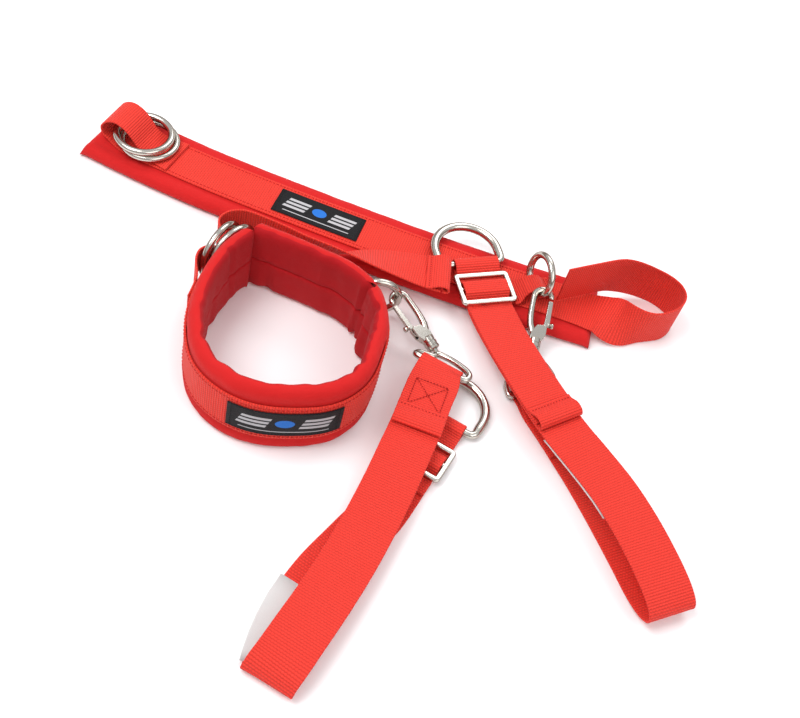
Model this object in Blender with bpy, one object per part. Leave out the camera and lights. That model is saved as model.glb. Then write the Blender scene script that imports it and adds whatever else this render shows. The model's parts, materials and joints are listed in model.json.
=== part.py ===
"""Pair of padded arm restraints with adjustable webbing tethers.

Restraint A is closed into a ring and stands on its edge. Restraint B is open and lies flat. Each
has a padded cuff, a webbing band with two O-rings, a tether ring in a webbing keeper, a swivel
trigger snap, and a tether strap with a three-bar slide and a D-ring.

Lengths are in millimetres, and MM turns them into metres. X runs to the right, Y away from the
front, and Z up from the table. CENTRE is the middle of the footprint.
"""

import math

import bpy
from mathutils import Vector

MM = 0.001
GAP = 0.3
CENTRE = (-30.208, -57.812)

WEB_WIDTH = 38.0
WEB_THICK = 1.6
PAD_WIDTH = 66.0
PAD_THICK = 11.5
SKIN = 1.1
LINING_THICK = 1.0
LABEL_LENGTH = 75.0
LABEL_WIDTH = 27.0
LABEL_THICK = 0.7

WIRE = 2.6
O_RING_RADIUS = 22.4
TETHER_RING_RADIUS = 16.5
D_WIRE = 2.7
D_BOW_WIRE = 3.5
D_HALF = 27.0
D_SIDE = 14.0

SLIDE_LENGTH = 47.0
SLIDE_WIDTH = 31.6
SLIDE_BAR = 3.6
SLIDE_THICK = 3.0

HOOK_WIRE = 2.4
HOOK_SIDE = 7.0
HOOK_BOW_AT = 0.0
COLLAR_START = 38.0
COLLAR_END = 49.0
COLLAR_RADIUS = 5.2
STEM_RADIUS = 1.9
EYE_STEM_END = 54.5
RING_LIFT = 5.2
HEAD_RADIUS = 3.3
PIVOT_AT = (31.0, -4.2)
PIN_RADIUS = 1.0
EYE_WIRE = 2.3

UP = (0.0, 0.0, 1.0)
FLAT = (0.0, 1.0, 0.0)

RED = (0.78, 0.045, 0.035)
LOOKS = {
    "cover": (RED, 0.75, 0.0),
    "foam": ((0.12, 0.12, 0.12), 0.9, 0.0),
    "lining": ((0.62, 0.03, 0.03), 0.85, 0.0),
    "webbing": ((0.82, 0.05, 0.04), 0.6, 0.0),
    "label": ((0.02, 0.02, 0.022), 0.7, 0.0),
    "tag": ((0.85, 0.85, 0.84), 0.7, 0.0),
    "nickel": ((0.74, 0.72, 0.68), 0.18, 1.0),
    "spring_steel": ((0.5, 0.5, 0.5), 0.3, 1.0),
}

# Inner face of each pad, as (x, y). A pad's outer face lies to the right of its path for the
# closed cuff, and above it for the open one.
PAD_A = [
    (-130.9, 23.2), (-138.6, 6), (-143, -14), (-144, -40), (-139, -66), (-127, -88), (-108, -100),
    (-86, -103), (-62, -97), (-41, -86), (-28, -67), (-25, -43), (-27, -19), (-38, 3), (-56, 15),
    (-80, 20), (-104, 23.5), (-130, 26),
]
PAD_B = [(-298, 139), (-246, 128), (-190, 119), (-126, 112), (-60, 106), (10, 101), (80, 98), (143, 98)]

# Loop of band A round its O-rings, from its sewn end to the pad: x, y and width.
LOOP_A = [
    (-158.6, -42, 38), (-158.8, -30, 36), (-160.5, -18, 32), (-164.5, -8, 27), (-167.6, 1, 24),
    (-167.5, 9, 24), (-163.5, 14.5, 24), (-157.5, 16.5, 24), (-152.2, 13.5, 25), (-151.9, 6, 28),
]
# Closing tail of band A, out through both rings and back: x, y, z, width direction and width.
TAIL_A = [
    (-130, 39.5, 33, (0, 0, 1), 31), (-143.5, 33.1, 33, (0, 0, 1), 30), (-154, 32, 33, (0, 0, 1), 30),
    (-161.5, 36, 33, (0, 0, 1), 30), (-163.5, 44, 33, (0, 0, 1), 31), (-158, 52, 33, (0, 0, 1), 33),
    (-147, 55.5, 33, (0, 0, 1), 36), (-133, 54, 33, (0, 0, 1), 38), (-117, 52.5, 32, (0, 0, 1), 38),
    (-98, 55, 30, (0, -0.25, 0.97), 38), (-76, 61, 28.5, (0, -0.55, 0.84), 38),
    (-52, 67, 28, (0.05, -0.82, 0.57), 38), (-28, 70, 27.4, (0.07, -0.94, 0.33), 38),
    (-6, 71, 27, (0.1, -0.98, 0.16), 38), (6, 71.4, 27, (0.14, -0.98, 0.1), 38),
    (13, 72, 27, (0.16, -0.98, 0.08), 38),
]
# Loop of band B round its O-rings, from its sewn end to the pad: x, z and width.
LOOP_B = [
    (-226, 14.6, 38), (-240, 14.8, 34), (-249, 16.5, 31), (-255.5, 20.5, 30), (-261, 27, 30),
    (-268, 33, 30), (-277, 35, 30), (-285, 31, 30), (-289.5, 23.5, 30), (-287, 16, 30),
    (-279, 12.6, 32),
]
TAIL_B = [
    (100, 97.5, 12.6, (0, 1, 0), 38), (112, 97, 12.7, (0, 1, 0), 38),
    (126, 96, 12.9, (0, 1, 0), 38), (137, 94.8, 13.4, (0, 1, 0.02), 38),
    (145.8, 93, 16.3, (0, 1, 0.1), 38), (153, 90.4, 17.8, (0, 0.89, 0.45), 38),
    (161, 88.2, 18, (0, 0.66, 0.75), 38), (170, 87.2, 19, (0, 0.32, 0.95), 38),
    (180, 88.8, 19.5, (0, 0.04, 1), 38), (190, 93, 19.5, (0, -0.04, 1), 38),
    (200, 100.2, 19.5, (0, 0, 1), 38), (206.5, 110, 19.5, (0, 0, 1), 38),
    (208, 121, 19.5, (0, 0, 1), 38), (202.5, 131, 19.5, (0, 0, 1), 38),
    (191, 137.4, 19.6, (0, 0, 1), 38), (177, 138.6, 21, (0, 0, 1), 38),
    (163, 134.6, 25, (0, 0, 1), 38), (150, 126.8, 30.4, (0, 0, 1), 38),
    (140, 118.6, 33.2, (0, 0, 1), 38), (131, 111.6, 33.9, (0, 0, 1), 38),
    (122, 105.2, 33.9, (0, 0, 1), 38), (114, 99.4, 33.9, (0, 0, 1), 38),
    (108, 95, 33.9, (0, 0, 1), 38),
]

# Tether straps, as (x, y, z, width direction), from the hem over the eye's bar, down the long
# side, round the far fold and back to the D-ring.
ACROSS_A = (0.97, -0.25, 0.0)
STRAP_A = [
    (25.8, -69, 21.9, ACROSS_A), (27.5, -46, 21.6, ACROSS_A), (29.5, -28, 21.3, ACROSS_A),
    (30.4, -15.5, 21.2, ACROSS_A, 35), (31.4, -10.6, 21.2, ACROSS_A, 34),
    (32.3, -7.6, 20.1, ACROSS_A, 34), (32.7, -6.4, 17.3, ACROSS_A, 34),
    (32.3, -7.6, 14.5, ACROSS_A, 34), (31.4, -10.6, 13.4, ACROSS_A, 34),
    (30.2, -16.5, 14.0, ACROSS_A, 35), (29.2, -27, 17.4, ACROSS_A),
    (27.5, -46, 19.4, ACROSS_A), (25.4, -70, 19.6, ACROSS_A), (22, -98, 19.8, (0.98, -0.2, 0)),
    (18.5, -125, 19.2, (0.98, -0.17, 0)), (13.5, -155, 17.6, (0.985, -0.17, 0)),
    (7, -187, 17.2, (0.98, -0.2, 0)), (-1, -219, 18, (0.97, -0.24, 0)),
    (-9.5, -248, 18.2, (0.965, -0.26, 0)), (-15, -266, 16.8, (0.96, -0.27, 0)),
    (-18.6, -275.8, 13.6, (0.96, -0.27, 0)),
    (-20.4, -280.5, 8.6, (0.96, -0.27, 0)), (-20.6, -280.2, 5.0, (0.96, -0.25, 0)),
    (-20.2, -276.5, 2.0, (0.97, -0.2, 0)), (-20.2, -270, 1.2, (0.985, -0.1, 0)),
    (-20.6, -252, 1.1, (0.99, -0.02, 0)), (-17.6, -226, 1.1, (0.98, -0.18, 0)),
    (-8.6, -196, 1.1, (0.94, -0.32, 0)), (5, -166, 1.1, (0.92, -0.38, 0)),
    (17.6, -138, 1.1, (0.94, -0.33, 0)),
]
SLIDE_AT_A = (33.5, -82.5, 6.1)
HEADING_A = (0.27, 0.963, 0.0)
ACROSS_B = (0.75, 0.66, 0.0)
STRAP_B = [
    (143, -39, 3.1, ACROSS_B), (137, -32, 3.1, ACROSS_B), (126, -19, 3.2, ACROSS_B),
    (117.5, -9, 4.2, ACROSS_B), (110, -0.4, 7.2, ACROSS_B, 35), (104.6, 5.9, 8.4, ACROSS_B, 34),
    (102.7, 8.1, 7.3, ACROSS_B, 34), (101.9, 9.0, 4.7, ACROSS_B, 34),
    (102.7, 8.1, 2.1, ACROSS_B, 34), (104.6, 5.9, 1.15, ACROSS_B, 34),
    (110, -0.4, 1.1, ACROSS_B, 35),
    (117.5, -9, 1.1, ACROSS_B), (133, -26.5, 1.1, ACROSS_B), (147, -43, 1.1, (0.77, 0.64, 0)),
    (161, -60, 1.1, (0.79, 0.61, 0)), (180, -85, 1.1, (0.81, 0.59, 0)),
    (200, -113, 1.1, (0.82, 0.57, 0)), (213, -132, 1.2, (0.82, 0.57, 0)),
    (221.5, -144, 3.2, (0.82, 0.57, 0)), (226.8, -151.6, 7.4, (0.82, 0.57, 0)),
    (228.6, -154.2, 13, (0.82, 0.57, 0)), (226.4, -151, 18.8, (0.82, 0.57, 0)),
    (219.8, -141.6, 23.6, (0.82, 0.57, 0)), (208.5, -125.6, 26.6, (0.82, 0.57, 0)),
    (193, -104.5, 28.2, (0.81, 0.59, 0)), (174, -81, 28, (0.78, 0.62, 0)),
    (152, -58, 26, (0.76, 0.65, 0)), (132, -38, 23.9, (0.77, 0.64, 0)),
    (113, -17, 23.5, (0.79, 0.61, 0)), (95, 5, 22.5, (0.82, 0.57, 0)), (75, 33, 19.5, (0.86, 0.51, 0)),
]
TAIL_END_B = [
    (75, 33, 21.7, (0.86, 0.51, 0)), (95, 5, 24.7, (0.82, 0.57, 0)), (113, -17, 25.7, (0.79, 0.61, 0)),
    (124, -29.2, 25.8, (0.78, 0.62, 0)),
]
SLIDE_AT_B = (49.0, 80.0, 19.7)
HEADING_B = (-0.47, 0.883, 0.0)

# Eye loops, each starting where the stem meets them.
EYE_A = [
    (27, 6.8, 10.7), (36, 4.5, 12), (45, -0.5, 14.2), (52, -6, 16), (54, -10.8, 17), (50, -15.2, 17.3),
    (31.5, -10.4, 17.3), (14, -5.8, 17.3), (10.4, -3.2, 16.4), (13, 0.2, 14.8), (18.5, 1.4, 13.2),
    (24.2, 2.8, 11.9),
]
EYE_B = [
    (98.2, 32.3, 9.8), (92.5, 27, 8.8), (87, 16, 7), (84.8, 4, 5.4), (86.6, -3.6, 4.8),
    (90.6, -6.2, 4.6), (104.5, 6, 4.6), (118.4, 18.2, 4.6), (118.6, 23.5, 5), (113, 29, 6.6),
    (105.5, 32.5, 8.6),
]

# Tether ring in its keeper: wire axis point, wire direction, and direction to the ring's centre.
KEEPER_A = ((-47.0, 29.4, 25.0), (0, 0, 1), (0.97, 0.243, 0.0))
KEEPER_B = ((86.0, 95.0, 19.0), (0.5, -0.866, 0), (0.15, 0.087, 0.985))


def vec(point):
    return Vector(point)


def metres(point):
    """A point of the layout in metres, round the middle of the footprint."""
    return Vector(((point[0] - CENTRE[0]) * MM, (point[1] - CENTRE[1]) * MM, point[2] * MM))


def make_material(name, look):
    colour, roughness, metallic = LOOKS[look]
    material = bpy.data.materials.new(name)
    material.use_nodes = True
    shader = material.node_tree.nodes["Principled BSDF"]
    shader.inputs["Base Color"].default_value = (*colour, 1.0)
    shader.inputs["Roughness"].default_value = roughness
    shader.inputs["Metallic"].default_value = metallic
    return material


def add_mesh(name, points, faces, look, pivot=None, round_shape=False):
    """An object from layout points, with its origin on its joint axis."""
    origin = metres(pivot) if pivot is not None else Vector()
    mesh = bpy.data.meshes.new(name)
    mesh.from_pydata([metres(p) - origin for p in points], [], faces)
    mesh.materials.append(make_material(name, look))
    obj = bpy.data.objects.new(name, mesh)
    obj.location = origin
    bpy.context.collection.objects.link(obj)
    mesh.polygons.foreach_set("use_smooth", [True] * len(mesh.polygons))
    mesh.set_sharp_from_angle(angle=math.radians(55 if round_shape else 32))
    mesh.update()
    return obj


def boolean(obj, operation, helpers):
    for helper in helpers:
        modifier = obj.modifiers.new(helper.name, "BOOLEAN")
        modifier.operation = operation
        modifier.solver = "EXACT"
        modifier.object = helper
        helper.hide_render = True
        helper.display_type = "WIRE"
    return obj


def smooth_path(rows, steps):
    """Catmull-Rom values through equal-length rows of numbers."""
    found = []
    last = len(rows) - 1
    for i in range(last):
        a, b, c, d = rows[max(i - 1, 0)], rows[i], rows[i + 1], rows[min(i + 2, last)]
        for k in range(steps):
            t = k / steps
            found.append([
                0.5 * (2 * q + (r - p) * t + (2 * p - 5 * q + 4 * r - s) * t * t
                       + (3 * q - p - 3 * r + s) * t ** 3)
                for p, q, r, s in zip(a, b, c, d)
            ])
    found.append(list(rows[last]))
    return found


def finer(stations, steps=2):
    """Stations with smooth ones added between them."""
    rows = [[*s[:3], *s[3], s[4] if len(s) > 4 else WEB_WIDTH] for s in stations]
    return [(*row[:3], tuple(row[3:6]), row[6]) for row in smooth_path(rows, steps)]


def with_frames(stations, steps=2):
    """(centre, width direction, normal, width) along a smooth path through the stations."""
    rows = [[*s[:3], *s[3], s[4]] for s in finer(stations, steps)]
    frames = []
    for i, row in enumerate(rows):
        before, after = rows[max(i - 1, 0)], rows[min(i + 1, len(rows) - 1)]
        along = (vec(after[:3]) - vec(before[:3])).normalized()
        across = vec(row[3:6])
        across = (across - along * across.dot(along)).normalized()
        frames.append((vec(row[:3]), across, along.cross(across), row[6]))
    return frames


def sweep(name, sections, look, pivot=None, round_shape=False):
    """A closed body through sections of equally many points, with flat end caps."""
    count = len(sections[0])
    points = [p for section in sections for p in section]
    faces = []
    for i in range(len(sections) - 1):
        for k in range(count):
            a, b = i * count + k, i * count + (k + 1) % count
            faces.append((a, b, b + count, a + count))
    faces.append(tuple(reversed(range(count))))
    faces.append(tuple(range(len(points) - count, len(points))))
    return outward(add_mesh(name, points, faces, look, pivot, round_shape))


def outward(obj):
    """Turns every face round when the body's volume comes out negative."""
    mesh = obj.data
    mesh.calc_loop_triangles()
    volume = 0.0
    for triangle in mesh.loop_triangles:
        a, b, c = (mesh.vertices[v].co for v in triangle.vertices)
        volume += a.dot(b.cross(c))
    if volume < 0:
        mesh.flip_normals()
    return obj


def box_section(frame, low, high, half=None):
    """Rectangle across a frame between two heights on its normal."""
    centre, across, normal, width = frame
    half = width / 2 if half is None else half
    return [
        centre - across * half + normal * low, centre - across * half + normal * high,
        centre + across * half + normal * high, centre + across * half + normal * low,
    ]


def ribbon(name, stations, look="webbing", steps=2, thick=WEB_THICK):
    frames = with_frames(stations, steps)
    return sweep(name, [box_section(f, -thick / 2, thick / 2) for f in frames], look)


def tube(name, path, radius, look, sides=10, closed=False, pivot=None, flat=None):
    """A round bar along a path, with one radius or one for each point. A flat direction keeps it from twisting."""
    count = len(path)
    radii = radius if isinstance(radius, list) else [radius] * count
    path = [vec(p) for p in path]
    rings = []
    side = vec(flat) if flat is not None else None
    for i, centre in enumerate(path):
        before = path[i - 1] if closed or i else path[0]
        after = path[(i + 1) % count] if closed or i < count - 1 else path[i]
        along = (after - before).normalized()
        if side is None:
            side = along.orthogonal().normalized()
        a = (side - along * side.dot(along)).normalized()
        b = along.cross(a)
        if flat is None:
            side = a
        rings.append([
            centre + a * radii[i] * math.cos(2 * math.pi * k / sides)
            + b * radii[i] * math.sin(2 * math.pi * k / sides) for k in range(sides)
        ])
    if not closed:
        return sweep(name, rings, look, pivot, True)
    points = [p for ring in rings for p in ring]
    faces = []
    for i in range(count):
        for k in range(sides):
            j = (i + 1) % count
            n = (k + 1) % sides
            faces.append((i * sides + k, i * sides + n, j * sides + n, j * sides + k))
    return outward(add_mesh(name, points, faces, look, pivot, True))


def ring(name, centre, a, b, radius, pivot, look="nickel"):
    a, b, centre = vec(a).normalized(), vec(b).normalized(), vec(centre)
    path = [
        centre + a * radius * math.cos(2 * math.pi * k / 32) + b * radius * math.sin(2 * math.pi * k / 32)
        for k in range(32)
    ]
    return tube(name, path, WIRE, look, closed=True, pivot=pivot, flat=a.cross(b))


def prism(name, outline, place, low, high, look, pivot=None):
    """An outline in a local plane, extruded between two heights. place turns (u, v, w) to layout."""
    sections = [[place(u, v, w) for u, v in outline] for w in (low, high)]
    return sweep(name, sections, look, pivot)


def plate(u0, u1, v0, v1):
    return [(u0, v0), (u1, v0), (u1, v1), (u0, v1)]


def disc(u, v, radius, sides=16):
    return [
        (u + radius * math.cos(2 * math.pi * k / sides), v + radius * math.sin(2 * math.pi * k / sides))
        for k in range(sides)
    ]


def frame_at(origin, u, v):
    """A function from local (u, v, w) to layout points."""
    origin, u = vec(origin), vec(u).normalized()
    v = vec(v)
    v = (v - u * v.dot(u)).normalized()
    w = u.cross(v)
    return lambda a, b, c=0.0: origin + u * a + v * b + w * c


def pad_frames(path, upright):
    across = UP if upright else FLAT
    z = PAD_WIDTH / 2 if upright else 0.0
    return with_frames([(x, y, z, across, PAD_WIDTH) for x, y in path], 3)


def make_cover(name, frames):
    """The cover's tray: outer face, both edges and both ends, open towards the wearer."""
    half, deep = PAD_WIDTH / 2, PAD_THICK - SKIN
    first = frames[0][0].lerp(frames[1][0], SKIN / (frames[1][0] - frames[0][0]).length)
    final = frames[-1][0].lerp(frames[-2][0], SKIN / (frames[-2][0] - frames[-1][0]).length)
    frames = [frames[0], (first, *frames[0][1:])] + frames[1:-1] + [(final, *frames[-1][1:]), frames[-1]]
    count = len(frames)
    points, faces = [], []
    for frame in frames:
        points += box_section(frame, 0.0, PAD_THICK, half)
        points += box_section(frame, 0.0, deep, half - SKIN)
    for i in range(count - 1):
        a, b = i * 8, i * 8 + 8
        faces += [(a + k, a + k + 1, b + k + 1, b + k) for k in range(3)]
        if 0 < i < count - 2:
            faces += [(a + 4 + k, b + 4 + k, b + 5 + k, a + 5 + k) for k in range(3)]
            faces += [(a, b, b + 4, a + 4), (a + 7, b + 7, b + 3, a + 3)]
    last = count * 8 - 8
    faces += [(3, 2, 1, 0), (last, last + 1, last + 2, last + 3)]
    faces += [(12, 13, 14, 15), (last - 1, last - 2, last - 3, last - 4)]
    faces += [(0, 8, 12, 15, 11, 3), (last + 3, last - 5, last - 1, last - 4, last - 8, last)]
    used = sorted({p for face in faces for p in face})
    order = {old: new for new, old in enumerate(used)}
    faces = [tuple(order[p] for p in face) for face in faces]
    return outward(add_mesh(name, [points[p] for p in used], faces, "cover"))


def trimmed(frames, cut):
    """The frames with both ends drawn in by a length."""
    first = frames[0][0].lerp(frames[1][0], cut / (frames[1][0] - frames[0][0]).length)
    final = frames[-1][0].lerp(frames[-2][0], cut / (frames[-2][0] - frames[-1][0]).length)
    return [(first, *frames[0][1:])] + frames[1:-1] + [(final, *frames[-1][1:])]


def make_pad(letter, frames):
    make_cover(f"cuff_cover_{letter}", frames)
    inside = trimmed(frames, SKIN + GAP)
    half = PAD_WIDTH / 2 - SKIN - GAP
    foam = [box_section(f, LINING_THICK + GAP, PAD_THICK - SKIN - GAP, half) for f in inside]
    sweep(f"cuff_foam_{letter}", foam, "foam")
    sweep(f"cuff_lining_{letter}", [box_section(f, 0.0, LINING_THICK, half) for f in inside], "lining")


def raised(frames, height, first, last, width=WEB_WIDTH, drop=0.0):
    """Stations that follow a pad's outer face at a height above it."""
    return [
        (*(f[0] + f[2] * height + f[1] * drop), tuple(f[1]), width)
        for f in frames[first:len(frames) + last]
    ]


def between(frame, other, t):
    return tuple(p.lerp(q, t) for p, q in zip(frame[:3], other[:3])) + (frame[3],)


def stretch(frames, start, stop):
    """The frames between two distances along a pad's path, with one added at each end."""
    found, walked = [], 0.0
    for a, b in zip(frames, frames[1:]):
        step = (b[0] - a[0]).length
        if walked <= start < walked + step:
            found.append(between(a, b, (start - walked) / step))
        elif start < walked < stop:
            found.append(a)
        if walked <= stop < walked + step:
            found.append(between(a, b, (stop - walked) / step))
        walked += step
    return found


def make_label(letter, frames, start, length):
    low = PAD_THICK + GAP + WEB_THICK + GAP
    pieces = stretch(frames, start, start + length)
    sections = [box_section(f, low, low + LABEL_THICK, LABEL_WIDTH / 2) for f in pieces]
    sweep(f"woven_label_{letter}", sections, "label")


def make_keeper(letter, keeper, normal, bend):
    """A webbing arch over the tether ring's wire, with a sewn foot on each side."""
    point, wire, out = (vec(v) for v in keeper)
    normal, wire = vec(normal).normalized(), wire.normalized()
    along = wire.cross(normal)
    lift = RING_LIFT
    foot = point - normal * lift
    low = GAP + WEB_THICK + GAP + WEB_THICK / 2
    rise = lift + 2.4 * abs(normal.dot(out)) + WIRE + GAP + WEB_THICK / 2 + 0.1
    rows = []
    for s, h, width in (
        (-18, low, 24), (-13.5, low + 0.2, 23), (-9.5, low + 0.5 * (rise - low), 18), (-6, rise - 0.6, 17),
        (0, rise + 0.6, 17), (6, rise - 0.6, 17), (9.5, low + 0.5 * (rise - low), 18),
        (13.5, low + 0.2, 23), (18, low, 24),
    ):
        drop = bend * s * s
        rows.append((*(foot + along * s + normal * (h - drop)), tuple(wire), width))
    ribbon(f"ring_keeper_{letter}", rows)


def make_hook(letter, place):
    """The snap's cast body: bow, shank, forked base and collar."""
    side, wire = HOOK_SIDE, HOOK_WIRE
    path = [(2.4, -side)]
    for k in range(9):
        t = math.radians(-90 - 180 * k / 8)
        path.append((HOOK_BOW_AT + side * math.cos(t), side * math.sin(t)))
    path += [(10, side), (19, side - 0.2), (27, side - 1.4), (33, side - 4), (39, 0.6)]
    points = [place(u, v) for u, v in path]
    flat = place(0, 0, 1) - place(0, 0, 0)
    body = tube(f"snap_hook_{letter}", points, wire, "nickel", flat=flat)
    base = prism(f"base_{letter}", [(26, -7.4), (35, -7.4), (40, -4.5), (40, 4.5), (34, 4.5), (27, 0.5)],
                 place, -3.6, 3.6, "nickel")
    collar = tube(f"collar_{letter}", [place(COLLAR_START, 0), place(COLLAR_END, 0)], COLLAR_RADIUS,
                  "nickel", sides=20)
    slot = prism(f"slot_{letter}", plate(22, 35.4, -12, -0.2), place, -1.9, 1.9, "nickel")
    bore = tube(f"bore_{letter}", [place(41, 0), place(54, 0)], STEM_RADIUS + GAP, "nickel", sides=16)
    seat = tube(f"seat_{letter}", [place(40.4, 0), place(44.0, 0)], HEAD_RADIUS + GAP, "nickel", sides=16)
    pin = prism(f"pin_bore_{letter}", disc(*PIVOT_AT, PIN_RADIUS + GAP, 12), place, -6, 6, "nickel")
    boolean(body, "UNION", [base, collar])
    boolean(body, "DIFFERENCE", [slot, bore, seat, pin])


def make_trigger(letter, place):
    """The sprung gate with its hub and thumb stud, hung on the pin."""
    pivot = place(*PIVOT_AT)
    bar = [(4.4, -8.8), (23, -9.3), (27.6, -7.6), (27.6, -4.4), (23, -5.0), (4.4, -5.4)]
    gate = prism(f"snap_trigger_{letter}", bar, place, -1.55, 1.55, "nickel", pivot)
    hub = prism(f"hub_{letter}", disc(PIVOT_AT[0], PIVOT_AT[1], 3.0), place, -1.55, 0.1, "nickel")
    arm = prism(f"arm_{letter}", plate(26.5, 30.0, -7.4, -3.6), place, -1.55, 0.1, "nickel")
    stud = tube(f"stud_{letter}", [place(24.5, -7.5), place(24.5, -12.6)], 2.3, "nickel", sides=14)
    hole = prism(f"hub_bore_{letter}", disc(*PIVOT_AT, PIN_RADIUS + GAP, 12), place, -4, 4, "nickel")
    boolean(gate, "UNION", [hub, arm, stud])
    boolean(gate, "DIFFERENCE", [hole])
    prism(f"trigger_pin_{letter}", disc(*PIVOT_AT, PIN_RADIUS, 12), place, -3.5, 3.5, "nickel", pivot)
    turns, radius = 2.0, 1.85
    coil = []
    for k in range(25):
        t = 2 * math.pi * turns * k / 24
        coil.append(place(PIVOT_AT[0] + radius * math.cos(t), PIVOT_AT[1] + radius * math.sin(t),
                          0.65 + 0.9 * k / 24))
    tube(f"trigger_spring_{letter}", coil, 0.2, "spring_steel", sides=6,
         flat=place(0, 0, 1) - place(0, 0, 0), pivot=pivot)


def make_eye(letter, place, loop):
    """The swivel eye: a riveted stem and a loop of wire that the strap folds round."""
    body = tube(f"swivel_eye_{letter}", loop, EYE_WIRE, "nickel", closed=True,
                pivot=place(COLLAR_END, 0), flat=vec(UP))
    stem = tube(f"stem_{letter}", [place(41.5, 0), place(EYE_STEM_END, 0)], STEM_RADIUS, "nickel", sides=14)
    head = tube(f"head_{letter}", [place(40.9, 0), place(43.3, 0)], HEAD_RADIUS, "nickel", sides=16)
    boolean(body, "UNION", [stem, head])


def make_d_ring(letter, place):
    """Straight bar on the strap's fold, rounded corners, sides and a half-round bow."""
    corner = 5.0
    path = [(0, -D_HALF + corner), (0, 0), (0, D_HALF - corner)]
    path += [(corner - corner * math.cos(math.radians(a)), D_HALF - corner + corner * math.sin(math.radians(a)))
             for a in (22, 45, 68, 90)]
    for k in range(13):
        t = math.radians(90 - 180 * k / 12)
        path.append((D_SIDE + D_HALF * math.cos(t), D_HALF * math.sin(t)))
    path += [(corner - corner * math.cos(math.radians(a)), -D_HALF + corner - corner * math.sin(math.radians(a)))
             for a in (90, 68, 45, 22)]
    points = [place(u, v) for u, v in path]
    flat = place(0, 0, 1) - place(0, 0, 0)
    radii = [D_WIRE + (D_BOW_WIRE - D_WIRE) * min(1.0, max(0.0, u - 1) / 8) for u, _ in path]
    tube(f"d_ring_{letter}", points, radii, "nickel", closed=True, pivot=place(0, 0), flat=flat)


def make_slide(letter, place):
    """A flat three-bar slide: outer frame with two slots."""
    long, wide = SLIDE_LENGTH / 2, SLIDE_WIDTH / 2
    c = 2.4
    outline = [(-wide + c, -long), (wide - c, -long), (wide, -long + c), (wide, long - c),
               (wide - c, long), (-wide + c, long), (-wide, long - c), (-wide, -long + c)]
    half = SLIDE_THICK / 2
    body = prism(f"slide_{letter}", outline, place, -half, half, "nickel", place(0, 0))
    slots = []
    for sign in (-1, 1):
        low, high = sorted((sign * SLIDE_BAR / 2, sign * (wide - SLIDE_BAR)))
        slots.append(prism(f"slot{sign}_{letter}", plate(low, high, -long + SLIDE_BAR, long - SLIDE_BAR),
                           place, -5, 5, "nickel"))
    boolean(body, "DIFFERENCE", slots)


def under_bar(place, across, reach, tail):
    """Stations round the D-ring's bar and back through the slide, in the slide's local frame.

    Local u runs towards the D-ring, w up. The lower layer lies under the slide.
    """
    low = -5.0
    rows = [
        (-26, low), (-12, low), (0, low), (12, low), (reach - 5.4, low), (reach, low - 0.1),
        (reach + 3, low + 1.1), (reach + 4.2, low + 4.1), (reach + 3, low + 7.0), (reach, low + 8.3),
        (reach - 4.2, low + 7.4), (reach - 8.4, low + 4.2),
        (15.5, -3.0), (10.8, -3.0), (8.6, -2.2), (6.6, 0.9), (4.6, 2.7), (0, 2.9), (-4.6, 2.7),
        (-6.6, 0.9), (-8.6, -2.2), (-10.8, -3.0), (-15.5, -3.0), (-20, -2.8),
    ]
    return [(*place(u, 0, w), across) for u, w in rows + tail]


def make_band(letter, loop, frames, first, last, tail):
    """The band: loop round the O-rings, run along the pad, and closing tail, as one webbing."""
    middle = raised(frames, PAD_THICK + GAP + WEB_THICK / 2, first, last)
    ribbon(f"band_strap_{letter}", finer(loop) + middle + finer(tail), steps=1)


def make_tag(letter, frames, first, last, shift, width, side):
    """A blank tag caught in the strap's edge, just under the long upper layer."""
    sections = []
    for centre, across, normal, _ in frames[first:last]:
        frame = (centre + across * shift, across, normal, width)
        middle = side * (WEB_THICK / 2 + GAP + 0.25)
        sections.append(box_section(frame, middle - 0.2, middle + 0.2))
    sweep(f"blank_tag_{letter}", sections, "tag")


def make_tether(letter, place, eye, stations, slide_at, heading, reach, aside, tail, tag):
    make_hook(letter, place)
    make_trigger(letter, place)
    make_eye(letter, place, eye)
    lateral = (-heading[1], heading[0], 0.0)
    local = frame_at(slide_at, heading, lateral)
    across = (heading[1], -heading[0], 0.0)
    stations = stations + under_bar(local, across, reach, []) + tail
    ribbon(f"tether_strap_{letter}", stations)
    make_slide(letter, local)
    make_d_ring(letter, frame_at(local(reach, aside, -0.9), heading, lateral))
    make_tag(letter, with_frames(stations), *tag)


def make_restraint_a():
    frames = pad_frames(PAD_A, True)
    make_pad("a", frames)
    make_band("a", [(x, y, 33.0, UP, w) for x, y, w in LOOP_A], frames, 5, -3, TAIL_A)
    make_label("a", frames, 144, LABEL_LENGTH - 6)
    make_keeper("a", KEEPER_A, (0.375, 0.927, 0.0), 0.0065)
    point, wire, out = (vec(v) for v in KEEPER_A)
    ring("tether_ring_a", point + out * TETHER_RING_RADIUS, out, wire, TETHER_RING_RADIUS, point)
    for name, start, heading in (("o_ring_outer_a", (-163.0, 3.0, 33.0), (0.3, 0.954, 0.0)),
                                 ("o_ring_inner_a", (-157.6, 6.0, 33.0), (0.45, 0.893, 0.0))):
        heading = vec(heading).normalized()
        ring(name, vec(start) + heading * O_RING_RADIUS, heading, UP, O_RING_RADIUS, start)
    hold = point + out * TETHER_RING_RADIUS * 2
    place = frame_at(hold, vec(EYE_A[0]) - hold, (0.55, 0.835, 0.0))
    end = [(*frame_at(SLIDE_AT_A, HEADING_A, FLAT)(-29, 0, -2.9), (HEADING_A[1], -HEADING_A[0], 0))]
    make_tether("a", place, EYE_A, STRAP_A, SLIDE_AT_A, HEADING_A, 36.0, 0.0, end,
                (48, 54, -8.0, 26, -1))


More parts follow.
